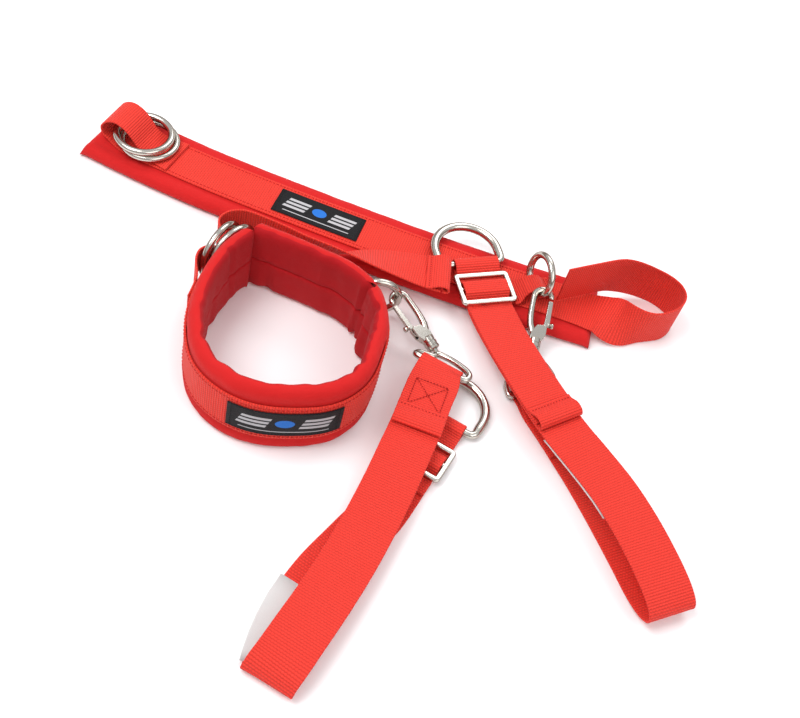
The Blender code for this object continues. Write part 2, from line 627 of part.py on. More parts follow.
def make_restraint_b():
    frames = pad_frames(PAD_B, False)
    make_pad("b", frames)
    loop = [(x, 140 - (x + 298) * 0.215, z, (0.2, 0.98, 0.0), w) for x, z, w in LOOP_B]
    make_band("b", loop, frames, 2, -3, TAIL_B)
    make_label("b", frames, 164, LABEL_LENGTH)
    make_keeper("b", KEEPER_B, UP, 0.0)
    point, wire, out = (vec(v) for v in KEEPER_B)
    ring("tether_ring_b", point + out * TETHER_RING_RADIUS, out, wire, TETHER_RING_RADIUS, point)
    wire = vec((0.21, 0.978, 0.0)).normalized()
    for name, start in (("o_ring_lower_b", (-275.0, 135.0, 18.4)), ("o_ring_upper_b", (-279.6, 135.0, 23.9))):
        heading = vec((wire[1], -wire[0], 0.0))
        ring(name, vec(start) + heading * O_RING_RADIUS, heading, wire, O_RING_RADIUS, start)
    centre = point + vec(KEEPER_B[2]).normalized() * TETHER_RING_RADIUS
    angle = math.radians(-25)
    hold = centre + (vec(KEEPER_B[1]) * math.cos(angle) + vec(KEEPER_B[2]) * math.sin(angle)) * TETHER_RING_RADIUS
    place = frame_at(hold, vec(EYE_B[0]) - hold, (-1, 0, 0))
    make_tether("b", place, EYE_B, STRAP_B, SLIDE_AT_B, HEADING_B, 27.4, 3.5, TAIL_END_B,
                (49, 55, -7.6, 24, 1))


def main():
    for obj in list(bpy.data.objects):
        bpy.data.objects.remove(obj, do_unlink=True)
    make_restraint_a()
    make_restraint_b()


main()
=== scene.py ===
"""Two padded arm restraints in red cloth and webbing, with nickel-plated rings, slides and snaps.

Layout lengths are in millimetres and follow the solids of the frame. X runs to the right, Y away
from the front, Z up. CENTRE is the layout point that lies at the world's origin. A station is
(x, y, z, width direction) or the same with a width after it.
"""

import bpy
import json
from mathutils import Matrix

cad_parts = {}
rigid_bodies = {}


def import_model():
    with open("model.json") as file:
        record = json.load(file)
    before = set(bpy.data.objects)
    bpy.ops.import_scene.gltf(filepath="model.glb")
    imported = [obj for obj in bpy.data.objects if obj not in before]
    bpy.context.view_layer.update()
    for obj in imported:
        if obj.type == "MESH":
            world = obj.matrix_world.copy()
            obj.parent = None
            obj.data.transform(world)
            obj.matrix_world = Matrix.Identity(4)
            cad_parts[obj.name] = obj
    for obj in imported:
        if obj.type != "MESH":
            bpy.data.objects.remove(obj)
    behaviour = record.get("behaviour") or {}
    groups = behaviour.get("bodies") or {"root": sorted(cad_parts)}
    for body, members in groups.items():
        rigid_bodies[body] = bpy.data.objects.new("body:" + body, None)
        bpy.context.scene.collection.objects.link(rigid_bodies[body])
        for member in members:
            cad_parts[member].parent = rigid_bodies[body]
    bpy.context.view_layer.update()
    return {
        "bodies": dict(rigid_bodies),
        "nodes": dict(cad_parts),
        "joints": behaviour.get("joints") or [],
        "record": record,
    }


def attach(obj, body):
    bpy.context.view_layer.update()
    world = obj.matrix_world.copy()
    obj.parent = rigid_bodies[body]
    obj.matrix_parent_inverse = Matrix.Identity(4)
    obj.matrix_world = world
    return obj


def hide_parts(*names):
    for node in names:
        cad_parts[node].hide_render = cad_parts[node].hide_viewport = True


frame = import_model()

import json
import math

import bpy
from mathutils import Matrix, Vector, noise

MM = 0.001
CENTRE = (-30.208, -57.812)
UP = (0.0, 0.0, 1.0)
FLAT = (0.0, 1.0, 0.0)

WEB_WIDTH = 38.0
WEB_THICK = 1.6
PAD_WIDTH = 66.0
BAND_HEIGHT = 12.6
LABEL_HEIGHT = 14.05
LABEL_LENGTH = 75.0
LABEL_WIDTH = 27.0
LABEL_THICK = 0.6
TAG_THICK = 0.4
SEAM_AT = 16.2
LABEL_SEAM_AT = 12.5
STITCH_RADIUS = 0.33

WIRE = 2.85
CLOSING_WIRE_A = 2.6
EYE_WIRE = 2.5
HOOK_WIRE = 2.4
O_RING_RADIUS = 22.4
TETHER_RING_RADIUS = 16.5
D_WIRE = 2.95
D_BOW_WIRE = 3.7
D_HALF = 27.0
D_SIDE = 14.0
HOOK_SIDE = 7.0
SLIDE_HALF_LENGTH = 23.5
SLIDE_HALF_WIDTH = 15.8
SLIDE_BAR = 2.1
RING_POINTS = 96
PIVOT_AT = (31.0, -4.2)

PAD_A = [
    (-130.9, 23.2), (-138.6, 6), (-143, -14), (-144, -40), (-139, -66), (-127, -88), (-108, -100),
    (-86, -103), (-62, -97), (-41, -86), (-28, -67), (-25, -43), (-27, -19), (-38, 3), (-56, 15),
    (-80, 20), (-104, 23.5), (-130, 26),
]
PAD_B = [(-298, 139), (-246, 128), (-190, 119), (-126, 112), (-60, 106), (10, 101), (80, 98), (143, 98)]
LOOP_A = [
    (-158.6, -42, 38), (-158.8, -30, 36), (-160.5, -18, 32), (-164.5, -8, 27), (-167.6, 1, 24),
    (-167.5, 9, 24), (-163.5, 14.5, 24), (-157.5, 16.5, 24), (-152.2, 13.5, 25), (-151.9, 6, 28),
]
TAIL_A = [
    (-130, 39.5, 33, UP, 31), (-143.5, 33.1, 33, UP, 30), (-154, 32, 33, UP, 30),
    (-161.5, 36, 33, UP, 30), (-163.5, 44, 33, UP, 31), (-158, 52, 33, UP, 33),
    (-147, 55.5, 33, UP, 36), (-133, 54, 33, UP), (-117, 52.5, 32, UP),
    (-98, 55, 30, (0, -0.25, 0.97)), (-76, 61, 28.5, (0, -0.55, 0.84)),
    (-52, 67, 28, (0.05, -0.82, 0.57)), (-28, 70, 27.4, (0.07, -0.94, 0.33)),
    (-6, 71, 27, (0.1, -0.98, 0.16)), (6, 71.4, 27, (0.14, -0.98, 0.1)),
    (13, 72, 27, (0.16, -0.98, 0.08)),
]
LOOP_B = [
    (-226, 14.6, 38), (-240, 14.8, 34), (-249, 16.5, 31), (-255.5, 20.5, 30), (-261, 27, 30),
    (-268, 33, 30), (-277, 35, 30), (-285, 31, 30), (-289.5, 23.5, 30), (-287, 16, 30),
    (-279, 12.6, 32),
]
TAIL_B = [
    (100, 97.5, 12.6, (0, 1, 0)), (112, 97, 12.7, (0, 1, 0)), (126, 96, 12.9, (0, 1, 0)),
    (137, 94.8, 13.4, (0, 1, 0.02)), (145.8, 93, 16.3, (0, 1, 0.1)),
    (153, 90.4, 17.8, (0, 0.89, 0.45)), (161, 88.2, 18, (0, 0.66, 0.75)),
    (170, 87.2, 19, (0, 0.32, 0.95)), (180, 88.8, 19.5, (0, 0.04, 1)),
    (190, 93, 19.5, (0, -0.04, 1)), (200, 100.2, 19.5, UP), (206.5, 110, 19.5, UP),
    (208, 121, 19.5, UP), (202.5, 131, 19.5, UP), (191, 137.4, 19.6, UP), (177, 138.6, 21, UP),
    (163, 134.6, 25, UP), (150, 126.8, 30.4, UP), (140, 118.6, 33.2, UP), (131, 111.6, 33.9, UP),
    (122, 105.2, 33.9, UP), (114, 99.4, 33.9, UP), (108, 95, 33.9, UP),
]
ACROSS_A = (0.97, -0.25, 0.0)
STRAP_A = [
    (25.8, -69, 21.9, ACROSS_A), (27.5, -46, 21.6, ACROSS_A), (29.5, -28, 21.3, ACROSS_A),
    (30.4, -15.5, 21.2, ACROSS_A, 35), (31.4, -10.6, 21.2, ACROSS_A, 34),
    (32.3, -7.6, 20.1, ACROSS_A, 34), (32.7, -6.4, 17.3, ACROSS_A, 34),
    (32.3, -7.6, 14.5, ACROSS_A, 34), (31.4, -10.6, 13.4, ACROSS_A, 34),
    (30.2, -16.5, 14.0, ACROSS_A, 35), (29.2, -27, 17.4, ACROSS_A),
    (27.5, -46, 19.4, ACROSS_A), (25.4, -70, 19.6, ACROSS_A), (22, -98, 19.8, (0.98, -0.2, 0)),
    (18.5, -125, 19.2, (0.98, -0.17, 0)), (13.5, -155, 17.6, (0.985, -0.17, 0)),
    (7, -187, 17.2, (0.98, -0.2, 0)), (-1, -219, 18, (0.97, -0.24, 0)),
    (-9.5, -248, 18.2, (0.965, -0.26, 0)), (-15, -266, 16.8, (0.96, -0.27, 0)),
    (-18.6, -275.8, 13.6, (0.96, -0.27, 0)),
    (-20.4, -280.5, 8.6, (0.96, -0.27, 0)), (-20.6, -280.2, 5.0, (0.96, -0.25, 0)),
    (-20.2, -276.5, 2.0, (0.97, -0.2, 0)), (-20.2, -270, 1.2, (0.985, -0.1, 0)),
    (-20.6, -252, 1.1, (0.99, -0.02, 0)), (-17.6, -226, 1.1, (0.98, -0.18, 0)),
    (-8.6, -196, 1.1, (0.94, -0.32, 0)), (5, -166, 1.1, (0.92, -0.38, 0)),
    (17.6, -138, 1.1, (0.94, -0.33, 0)),
]
SLIDE_AT_A = (33.5, -82.5, 6.1)
HEADING_A = (0.27, 0.963, 0.0)
ACROSS_B = (0.75, 0.66, 0.0)
STRAP_B = [
    (143, -39, 3.1, ACROSS_B), (137, -32, 3.1, ACROSS_B), (126, -19, 3.2, ACROSS_B),
    (117.5, -9, 4.2, ACROSS_B), (110, -0.4, 7.2, ACROSS_B, 35), (104.6, 5.9, 8.4, ACROSS_B, 34),
    (102.7, 8.1, 7.3, ACROSS_B, 34), (101.9, 9.0, 4.7, ACROSS_B, 34),
    (102.7, 8.1, 2.1, ACROSS_B, 34), (104.6, 5.9, 1.15, ACROSS_B, 34),
    (110, -0.4, 1.1, ACROSS_B, 35),
    (117.5, -9, 1.1, ACROSS_B), (133, -26.5, 1.1, ACROSS_B), (147, -43, 1.1, (0.77, 0.64, 0)),
    (161, -60, 1.1, (0.79, 0.61, 0)), (180, -85, 1.1, (0.81, 0.59, 0)),
    (200, -113, 1.1, (0.82, 0.57, 0)), (213, -132, 1.2, (0.82, 0.57, 0)),
    (221.5, -144, 3.2, (0.82, 0.57, 0)), (226.8, -151.6, 7.4, (0.82, 0.57, 0)),
    (228.6, -154.2, 13, (0.82, 0.57, 0)), (226.4, -151, 18.8, (0.82, 0.57, 0)),
    (219.8, -141.6, 23.6, (0.82, 0.57, 0)), (208.5, -125.6, 26.6, (0.82, 0.57, 0)),
    (193, -104.5, 28.2, (0.81, 0.59, 0)), (174, -81, 28, (0.78, 0.62, 0)),
    (152, -58, 26, (0.76, 0.65, 0)), (132, -38, 23.9, (0.77, 0.64, 0)),
    (113, -17, 23.5, (0.79, 0.61, 0)), (95, 5, 22.5, (0.82, 0.57, 0)), (75, 33, 19.5, (0.86, 0.51, 0)),
]
TAIL_END_B = [
    (75, 33, 21.7, (0.86, 0.51, 0)), (95, 5, 24.7, (0.82, 0.57, 0)), (113, -17, 25.7, (0.79, 0.61, 0)),
    (124, -29.2, 25.8, (0.78, 0.62, 0)),
]
SLIDE_AT_B = (49.0, 80.0, 19.7)
HEADING_B = (-0.47, 0.883, 0.0)
EYE_A = [
    (27, 6.8, 10.7), (36, 4.5, 12), (45, -0.5, 14.2), (52, -6, 16), (54, -10.8, 17), (50, -15.2, 17.3),
    (31.5, -10.4, 17.3), (14, -5.8, 17.3), (10.4, -3.2, 16.4), (13, 0.2, 14.8), (18.5, 1.4, 13.2),
    (24.2, 2.8, 11.9),
]
EYE_B = [
    (98.2, 32.3, 9.8), (92.5, 27, 8.8), (87, 16, 7), (84.8, 4, 5.4), (86.6, -3.6, 4.8),
    (90.6, -6.2, 4.6), (104.5, 6, 4.6), (118.4, 18.2, 4.6), (118.6, 23.5, 5), (113, 29, 6.6),
    (105.5, 32.5, 8.6),
]
KEEPER_A = ((-47.0, 29.4, 25.0), (0, 0, 1), (0.97, 0.243, 0.0))
KEEPER_B = ((86.0, 95.0, 19.0), (0.5, -0.866, 0), (0.15, 0.087, 0.985))
RING_LIFT = 5.2
RIB_PITCH = 0.20  # cm
PICK_PITCH = 0.24  # cm
SKIN_RED = (0.70, 0.014, 0.014)
WEB_RED = (0.93, 0.050, 0.032)
DEEP_RED = (0.52, 0.008, 0.013)
CLOTH_SHEEN = 0.04

FLOOR_HALF = 30.0  # m
BACKDROP = (
    (0.02, (0.66, 0.64, 0.62, 1.0)), (0.25, (0.30, 0.19, 0.145, 1.0)), (0.45, (0.97, 0.98, 1.0, 1.0)),
)
LAMPS = (  # name, place in m, size in m, watts
    ("key", (-0.75, -0.2, 1.5), 0.9, 17.0),
    ("fill", (0.95, -0.75, 1.15), 1.2, 7.0),
    ("back", (0.25, 1.25, 1.2), 1.0, 9.0),
)
CAMERA_AT = (0, -556.4, 697)
CAMERA_ROLL = 17
CAMERA_LENS = 51.75


def vec(point):
    return Vector(point)


def metres(point):
    return Vector(((point[0] - CENTRE[0]) * MM, (point[1] - CENTRE[1]) * MM, point[2] * MM))


def smooth_path(rows, steps):
    """Catmull-Rom values through equal-length rows of numbers."""
    found = []
    last = len(rows) - 1
    for i in range(last):
        a, b, c, d = rows[max(i - 1, 0)], rows[i], rows[i + 1], rows[min(i + 2, last)]
        for k in range(steps):
            t = k / steps
            found.append([
                0.5 * (2 * q + (r - p) * t + (2 * p - 5 * q + 4 * r - s) * t * t
                       + (3 * q - p - 3 * r + s) * t ** 3)
                for p, q, r, s in zip(a, b, c, d)
            ])
    found.append(list(rows[last]))
    return found


def finer(stations, steps=2):
    rows = [[*s[:3], *s[3], s[4] if len(s) > 4 else WEB_WIDTH] for s in stations]
    return [(*row[:3], tuple(row[3:6]), row[6]) for row in smooth_path(rows, steps)]


def with_frames(stations, steps=2):
    """(centre, width direction, normal, width) along a smooth path through the stations."""
    rows = [[*s[:3], *s[3], s[4]] for s in finer(stations, steps)]
    frames = []
    for i, row in enumerate(rows):
        before, after = rows[max(i - 1, 0)], rows[min(i + 1, len(rows) - 1)]
        along = (vec(after[:3]) - vec(before[:3])).normalized()
        across = vec(row[3:6])
        across = (across - along * across.dot(along)).normalized()
        frames.append((vec(row[:3]), across, along.cross(across), row[6]))
    return frames


def lengths(frames):
    """Distance of each frame along the path."""
    found = [0.0]
    for a, b in zip(frames, frames[1:]):
        found.append(found[-1] + (b[0] - a[0]).length)
    return found


def at_distances(frames, marks):
    """Frames at the given distances along the path."""
    walked = lengths(frames)
    found, i = [], 0
    for s in marks:
        while i < len(frames) - 2 and walked[i + 1] < s:
            i += 1
        t = (s - walked[i]) / (walked[i + 1] - walked[i])
        centre, across, normal = (p.lerp(q, t) for p, q in zip(frames[i][:3], frames[i + 1][:3]))
        width = frames[i][3] + (frames[i + 1][3] - frames[i][3]) * t
        found.append((centre, across.normalized(), normal.normalized(), width))
    return found


def spread(start, stop, step, ends=()):
    """Distances from start to stop about a step apart, with closer ones at both ends."""
    count = max(2, round((stop - start) / step))
    even = [start + (stop - start) * k / count for k in range(count + 1)]
    close = [start + e for e in ends] + [stop - e for e in ends]
    low, high = start + (ends[-1] if ends else 0), stop - (ends[-1] if ends else 0)
    return sorted(set([e for e in even if low + 0.5 < e < high - 0.5] + close + [start, stop]))


def new_object(name, data):
    obj = bpy.data.objects.new(name, data)
    bpy.context.collection.objects.link(obj)
    return obj


def mesh_object(name, points, faces, material, uvs=None, angle=None):
    """A smooth-shaded object from layout points, with one UV pair for each corner if given."""
    mesh = bpy.data.meshes.new(name)
    mesh.from_pydata([metres(p) for p in points], [], faces)
    mesh.materials.append(material)
    mesh.polygons.foreach_set("use_smooth", [True] * len(mesh.polygons))
    if uvs:
        layer = mesh.uv_layers.new(name="cloth")
        layer.data.foreach_set("uv", [v for face in uvs for corner in face for v in corner])
    if angle:
        mesh.set_sharp_from_angle(angle=math.radians(angle))
    mesh.update()
    return new_object(name, mesh)


def skin(name, sections, material, along=None, around=None, closed=False, angle=None):
    """A closed surface through sections of equally many points.

    Its UVs are in centimetres, and only an open run of sections has them.
    """
    count, total = len(sections[0]), len(sections)
    points = [p for section in sections for p in section]
    faces, uvs = [], []
    for i in range(total if closed else total - 1):
        j = (i + 1) % total
        for k in range(count):
            n = (k + 1) % count
            faces.append((i * count + k, i * count + n, j * count + n, j * count + k))
            if along:
                v0, v1 = along[i] / 10, along[j] / 10
                u0, u1 = around[k] / 10, around[n] / 10
                uvs.append(((u0, v0), (u1, v0), (u1, v1), (u0, v1)))
    if not closed:
        for i, order in ((0, range(count - 1, -1, -1)), (total - 1, range(count))):
            faces.append(tuple(i * count + k for k in order))
            if along:
                uvs.append(tuple((around[k] / 10, along[i] / 10) for k in order))
    obj = mesh_object(name, points, faces, material, uvs or None, angle)
    obj.data.calc_loop_triangles()
    volume = sum(
        obj.data.vertices[t.vertices[0]].co.dot(
            obj.data.vertices[t.vertices[1]].co.cross(obj.data.vertices[t.vertices[2]].co))
        for t in obj.data.loop_triangles
    )
    if volume < 0:
        obj.data.flip_normals()
    return obj


def web_section(frame, thick, raise_by=0.0):
    """Webbing's section: flat faces with rounded, slightly thicker selvedges."""
    centre, across, normal, width = frame
    half, t = width / 2, thick / 2
    profile = [(-1.0, 0.0), (-0.992, 0.55), (-0.97, 0.98), (-0.93, 1.0), (-0.86, 0.86), (-0.5, 0.9),
               (0.0, 0.92), (0.5, 0.9), (0.86, 0.86), (0.93, 1.0), (0.97, 0.98), (0.992, 0.55),
               (1.0, 0.0)]
    profile += [(a, -b) for a, b in reversed(profile[1:-1])]
    return [centre + across * (a * half) + normal * (b * t + raise_by) for a, b in profile]


def web_around(width):
    """The across value of each point of a web_section, for its UVs."""
    half = width / 2
    top = [-1.0, -0.992, -0.97, -0.93, -0.86, -0.5, 0.0, 0.5, 0.86, 0.93, 0.97, 0.992, 1.0]
    return [a * half for a in top] + [a * half for a in reversed(top[1:-1])]


def ribbon(name, frames, material, thick=WEB_THICK):
    sections = [web_section(f, thick) for f in frames]
    return skin(name, sections, material, lengths(frames), web_around(WEB_WIDTH))


def tube(name, path, radius, material, sides=20, closed=False, flat=None):
    """A round bar along a path, with one radius or one for each point."""
    path = [vec(p) for p in path]
    count = len(path)
    radii = radius if isinstance(radius, list) else [radius] * count
    sections = []
    side = vec(flat) if flat is not None else None
    for i, centre in enumerate(path):
        before = path[i - 1] if closed or i else path[0]
        after = path[(i + 1) % count] if closed or i < count - 1 else path[i]
        along = (after - before).normalized()
        if side is None:
            side = along.orthogonal().normalized()
        a = (side - along * side.dot(along)).normalized()
        b = along.cross(a)
        if flat is None:
            side = a
        turns = [2 * math.pi * k / sides for k in range(sides)]
        sections.append([centre + (a * math.cos(t) + b * math.sin(t)) * radii[i] for t in turns])
    return skin(name, sections, material, closed=closed, angle=50)


def ring(name, centre, a, b, radius, material, wire=WIRE):
    """A round-wire ring in the plane of a and b."""
    a, b, centre = vec(a).normalized(), vec(b).normalized(), vec(centre)
    turns = [2 * math.pi * k / RING_POINTS for k in range(RING_POINTS)]
    path = [centre + a * radius * math.cos(t) + b * radius * math.sin(t) for t in turns]
    return tube(name, path, wire, material, closed=True, flat=a.cross(b))


def prism(name, outline, place, low, high, material, bevel):
    sections = [[place(u, v, w) for u, v in outline] for w in (low, high)]
    obj = skin(name, sections, material, angle=35)
    modifier = obj.modifiers.new("edges", "BEVEL")
    modifier.width = bevel * MM
    modifier.segments = 3
    modifier.limit_method = "ANGLE"
    modifier.angle_limit = math.radians(35)
    modifier.harden_normals = True
    return obj


def frame_at(origin, u, v):
    """A function from (u, v, w) to a layout point. u keeps its direction, and v is squared to it."""
    origin, u = vec(origin), vec(u).normalized()
    v = vec(v)
    v = (v - u * v.dot(u)).normalized()
    w = u.cross(v)
    return lambda a, b, c=0.0: origin + u * a + v * b + w * c


def joined(name, pieces, body, *nodes):
    """Several meshes as one named piece that rides on a body."""
    for piece in pieces:
        for modifier in list(piece.modifiers):
            with bpy.context.temp_override(object=piece, active_object=piece):
                bpy.ops.object.modifier_apply(modifier=modifier.name)
    with bpy.context.temp_override(active_object=pieces[0], selected_editable_objects=pieces):
        bpy.ops.object.join()
    pieces[0].name = name
    pieces[0].data.name = name
    settle(pieces[0], body, *nodes)


def settle(obj, body, *nodes):
    """Puts a piece on its body, in place of the nodes that it stands for."""
    if nodes:
        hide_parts(*nodes)
    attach(obj, body)
    return obj


# Materials


class Nodes:
    """Short calls for building one material's nodes."""

    def __init__(self, name):
        self.material = bpy.data.materials.new(name)
        self.material.use_nodes = True
        self.tree = self.material.node_tree
        self.shader = self.tree.nodes["Principled BSDF"]

    def add(self, kind, **settings):
        node = self.tree.nodes.new(kind)
        for key, value in settings.items():
            setattr(node, key, value)
        return node

    def link(self, source, target):
        self.tree.links.new(source, target)

    def math(self, operation, *values):
        node = self.add("ShaderNodeMath", operation=operation)
        for socket, value in zip(node.inputs, values):
            if isinstance(value, (int, float)):
                socket.default_value = value
            else:
                self.link(value, socket)
        return node.outputs[0]

    def noise(self, vector, scale, detail=2.0, rough=0.5):
        node = self.add("ShaderNodeTexNoise")
        node.inputs["Scale"].default_value = scale
        node.inputs["Detail"].default_value = detail
        node.inputs["Roughness"].default_value = rough
        self.link(vector, node.inputs["Vector"])
        return node.outputs["Fac"]

    def mix(self, factor, a, b):
        node = self.add("ShaderNodeMix", data_type="RGBA")
        self.link(factor, node.inputs["Factor"])
        for socket, value in (("A", a), ("B", b)):
            sockets = [s for s in node.inputs if s.name == socket and s.type == "RGBA"]
            if isinstance(value, tuple):
                sockets[0].default_value = (*value, 1.0)
            else:
                self.link(value, sockets[0])
        return [s for s in node.outputs if s.type == "RGBA"][0]

    def bump(self, height, distance, strength=1.0, below=None):
        node = self.add("ShaderNodeBump")
        node.inputs["Distance"].default_value = distance
        node.inputs["Strength"].default_value = strength
        self.link(height, node.inputs["Height"])
        if below is not None:
            self.link(below, node.inputs["Normal"])
        return node.outputs["Normal"]

    def coordinates(self):
        """Across and along the cloth, in centimetres, and the object's own coordinates."""
        node = self.add("ShaderNodeTexCoord")
        split = self.add("ShaderNodeSeparateXYZ")
        self.link(node.outputs["UV"], split.inputs[0])
        return split.outputs[0], split.outputs[1], node.outputs["Object"]

    def wave(self, value, pitch):
        return self.math("SINE", self.math("MULTIPLY", value, 2 * math.pi / pitch))

    def finish(self, colour, normal, roughness, metallic=0.0, sheen=0.0):
        self.link(colour, self.shader.inputs["Base Color"])
        if normal is not None:
            self.link(normal, self.shader.inputs["Normal"])
        if isinstance(roughness, (int, float)):
            self.shader.inputs["Roughness"].default_value = roughness
        else:
            self.link(roughness, self.shader.inputs["Roughness"])
        for name, value in (("Metallic", metallic), ("Sheen Weight", sheen), ("Sheen Roughness", 0.45),
                            ("Specular IOR Level", 0.5 if metallic else 0.22)):
            self.shader.inputs[name].default_value = value
        if metallic:
            self.shader.inputs["Specular Tint"].default_value = (0.32, 0.27, 0.24, 1.0)
        return self.material


def dim(colour, share):
    return tuple(c * share for c in colour)


def scaled(tools, source, low, high):
    """A 0 to 1 value spread between two others."""
    node = tools.add("ShaderNodeMapRange")
    node.inputs["To Min"].default_value = low
    node.inputs["To Max"].default_value = high
    tools.link(source, node.inputs["Value"])
    return node.outputs[0]


def webbing_material():
    """Ribbed polyester webbing: rows across the width, each broken into small alternate picks, with
    painted shade darkening the rib grooves.
    """
    tools = Nodes("webbing")
    x, y, place = tools.coordinates()
    row = tools.math("MULTIPLY", y, 1 / RIB_PITCH)
    rib = tools.math("COSINE", tools.math("MULTIPLY", tools.math("FRACT", row), 2 * math.pi))
    rib = tools.math("MULTIPLY_ADD", rib, -0.5, 0.5)
    odd = tools.math("MULTIPLY", tools.math("FLOOR", row), math.pi)
    pick = tools.math("ADD", tools.math("MULTIPLY", x, 2 * math.pi / PICK_PITCH), odd)
    pick = tools.math("MULTIPLY_ADD", tools.math("SINE", pick), 0.5, 0.5)
    height = tools.math("ADD", tools.math("MULTIPLY", rib, 0.65), tools.math("MULTIPLY", pick, 0.35))
    blotch = tools.noise(place, 38.0, 3.0)
    # painted shade: the colour falls to half its brightness in the rib grooves, where the bump's height is
    # low
    colour = tools.mix(scaled(tools, height, 0.25, 1.0), dim(WEB_RED, 0.5), WEB_RED)
    colour = tools.mix(scaled(tools, blotch, 0.0, 0.35), colour, dim(WEB_RED, 0.82))
    soft = tools.bump(tools.noise(place, 60.0, 2.0), 0.0006, 0.35)
    normal = tools.bump(height, 0.0007, 0.9, soft)
    return tools.finish(colour, normal, scaled(tools, blotch, 0.62, 0.76), sheen=CLOTH_SHEEN)


def cloth_material(name, colour, pitch=0.085, wrinkle=0.6):
    """Plain-woven nylon with a fine even weave and soft puckers, with painted shade darkening the weave's
    hollows.
    """
    tools = Nodes(name)
    x, y, place = tools.coordinates()
    woven = tools.math("MULTIPLY", tools.wave(x, pitch), tools.wave(y, pitch))
    weave = tools.math("MULTIPLY_ADD", woven, 0.5, 0.5)
    blotch = tools.noise(place, 30.0, 4.0)
    # painted shade: the colour is darker in the weave's hollows, following the weave's bump
    shade = tools.mix(scaled(tools, weave, 0.3, 1.0), dim(colour, 0.7), colour)
    shade = tools.mix(scaled(tools, blotch, 0.0, 0.4), shade, dim(colour, 0.78))
    soft = tools.bump(tools.noise(place, 85.0, 3.0, 0.55), 0.0011, wrinkle)
    normal = tools.bump(weave, 0.00022, 0.7, soft)
    return tools.finish(shade, normal, scaled(tools, blotch, 0.72, 0.86), sheen=CLOTH_SHEEN)


def thread_material(name, colour):
    tools = Nodes(name)
    _, _, place = tools.coordinates()
    fibre = tools.noise(place, 2600.0, 2.0)
    shade = tools.mix(fibre, dim(colour, 0.6), colour)
    return tools.finish(shade, tools.bump(fibre, 0.0001, 0.5), 0.6)


def metal_material(name, colour, low, high):
    """Bright plate with faint hairlines and hand-worn patches."""
    tools = Nodes(name)
    _, _, place = tools.coordinates()
    patch = tools.noise(place, 90.0, 4.0, 0.6)
    hair = tools.noise(place, 1500.0, 2.0)
    shade = tools.mix(scaled(tools, patch, 0.0, 0.5), colour, dim(colour, 0.86))
    normal = tools.bump(hair, 0.00002, 0.4, tools.bump(patch, 0.0001, 0.25))
    return tools.finish(shade, normal, scaled(tools, patch, low, high), metallic=1.0)


def label_material():
    """Fine black weave with a plain motif: a striped block each side of a blue dot, and a thin rule."""
    tools = Nodes("woven_label")
    x, y, _ = tools.coordinates()

    def inside(value, centre, half):
        gap = tools.math("ABSOLUTE", tools.math("SUBTRACT", value, centre))
        return tools.math("LESS_THAN", gap, half)

    def both(a, b):
        return tools.math("MULTIPLY", a, b)

    slant = tools.math("ADD", y, tools.math("MULTIPLY", x, -0.35))
    bars = tools.math("MAXIMUM", inside(slant, 1.75, 0.95), inside(slant, 5.75, 0.95))
    stripes = tools.math("GREATER_THAN", tools.wave(x, 0.42), -0.35)
    bars = both(both(bars, inside(x, 0.12, 0.62)), stripes)
    rule = both(inside(y, 3.75, 2.9), inside(x, -0.86, 0.045))
    pale = tools.math("MAXIMUM", bars, rule)
    dx = tools.math("SUBTRACT", x, 0.12)
    dy = tools.math("MULTIPLY", tools.math("SUBTRACT", y, 3.75), 0.72)
    away = tools.math("ADD", tools.math("MULTIPLY", dx, dx), tools.math("MULTIPLY", dy, dy))
    dot = tools.math("LESS_THAN", away, 0.2)
    woven = tools.math("MULTIPLY", tools.wave(x, 0.04), tools.wave(y, 0.05))
    weave = tools.math("MULTIPLY_ADD", woven, 0.5, 0.5)
    # painted shade: the black is darker in the weave's hollows, following the weave's bump
    black = tools.mix(weave, (0.003, 0.003, 0.004), (0.012, 0.012, 0.014))
    shade = tools.mix(pale, black, (0.50, 0.50, 0.52))
    shade = tools.mix(dot, shade, (0.02, 0.17, 0.62))
    raised = tools.math("ADD", weave, tools.math("MULTIPLY", tools.math("MAXIMUM", pale, dot), 1.2))
    return tools.finish(shade, tools.bump(raised, 0.00016, 0.6), 0.6)


WEBBING = webbing_material()
COVER = cloth_material("cover", SKIN_RED)
LINING = cloth_material("lining", DEEP_RED, wrinkle=0.9)
THREAD = thread_material("thread", (0.40, 0.006, 0.006))
BRIGHT_THREAD = thread_material("bright_thread", (0.66, 0.016, 0.012))
DARK_THREAD = thread_material("dark_thread", (0.015, 0.015, 0.017))
LABEL = label_material()
TAG = cloth_material("tag", (0.86, 0.86, 0.85), pitch=0.04, wrinkle=0.3)
NICKEL = metal_material("nickel", (0.60, 0.565, 0.51), 0.12, 0.26)
STEEL = metal_material("spring_steel", (0.55, 0.55, 0.56), 0.25, 0.35)


# Pads


def pad_frames(path, upright, steps):
    across = UP if upright else FLAT
    z = PAD_WIDTH / 2 if upright else 0.0
    return with_frames([(x, y, z, across, PAD_WIDTH) for x, y in path], steps)


def round_ends(frames, step=2.6):
    total = lengths(frames)[-1]
    return at_distances(frames, spread(0, total, step, (0.25, 0.8, 1.8, 3.2, 5.0, 7.0)))


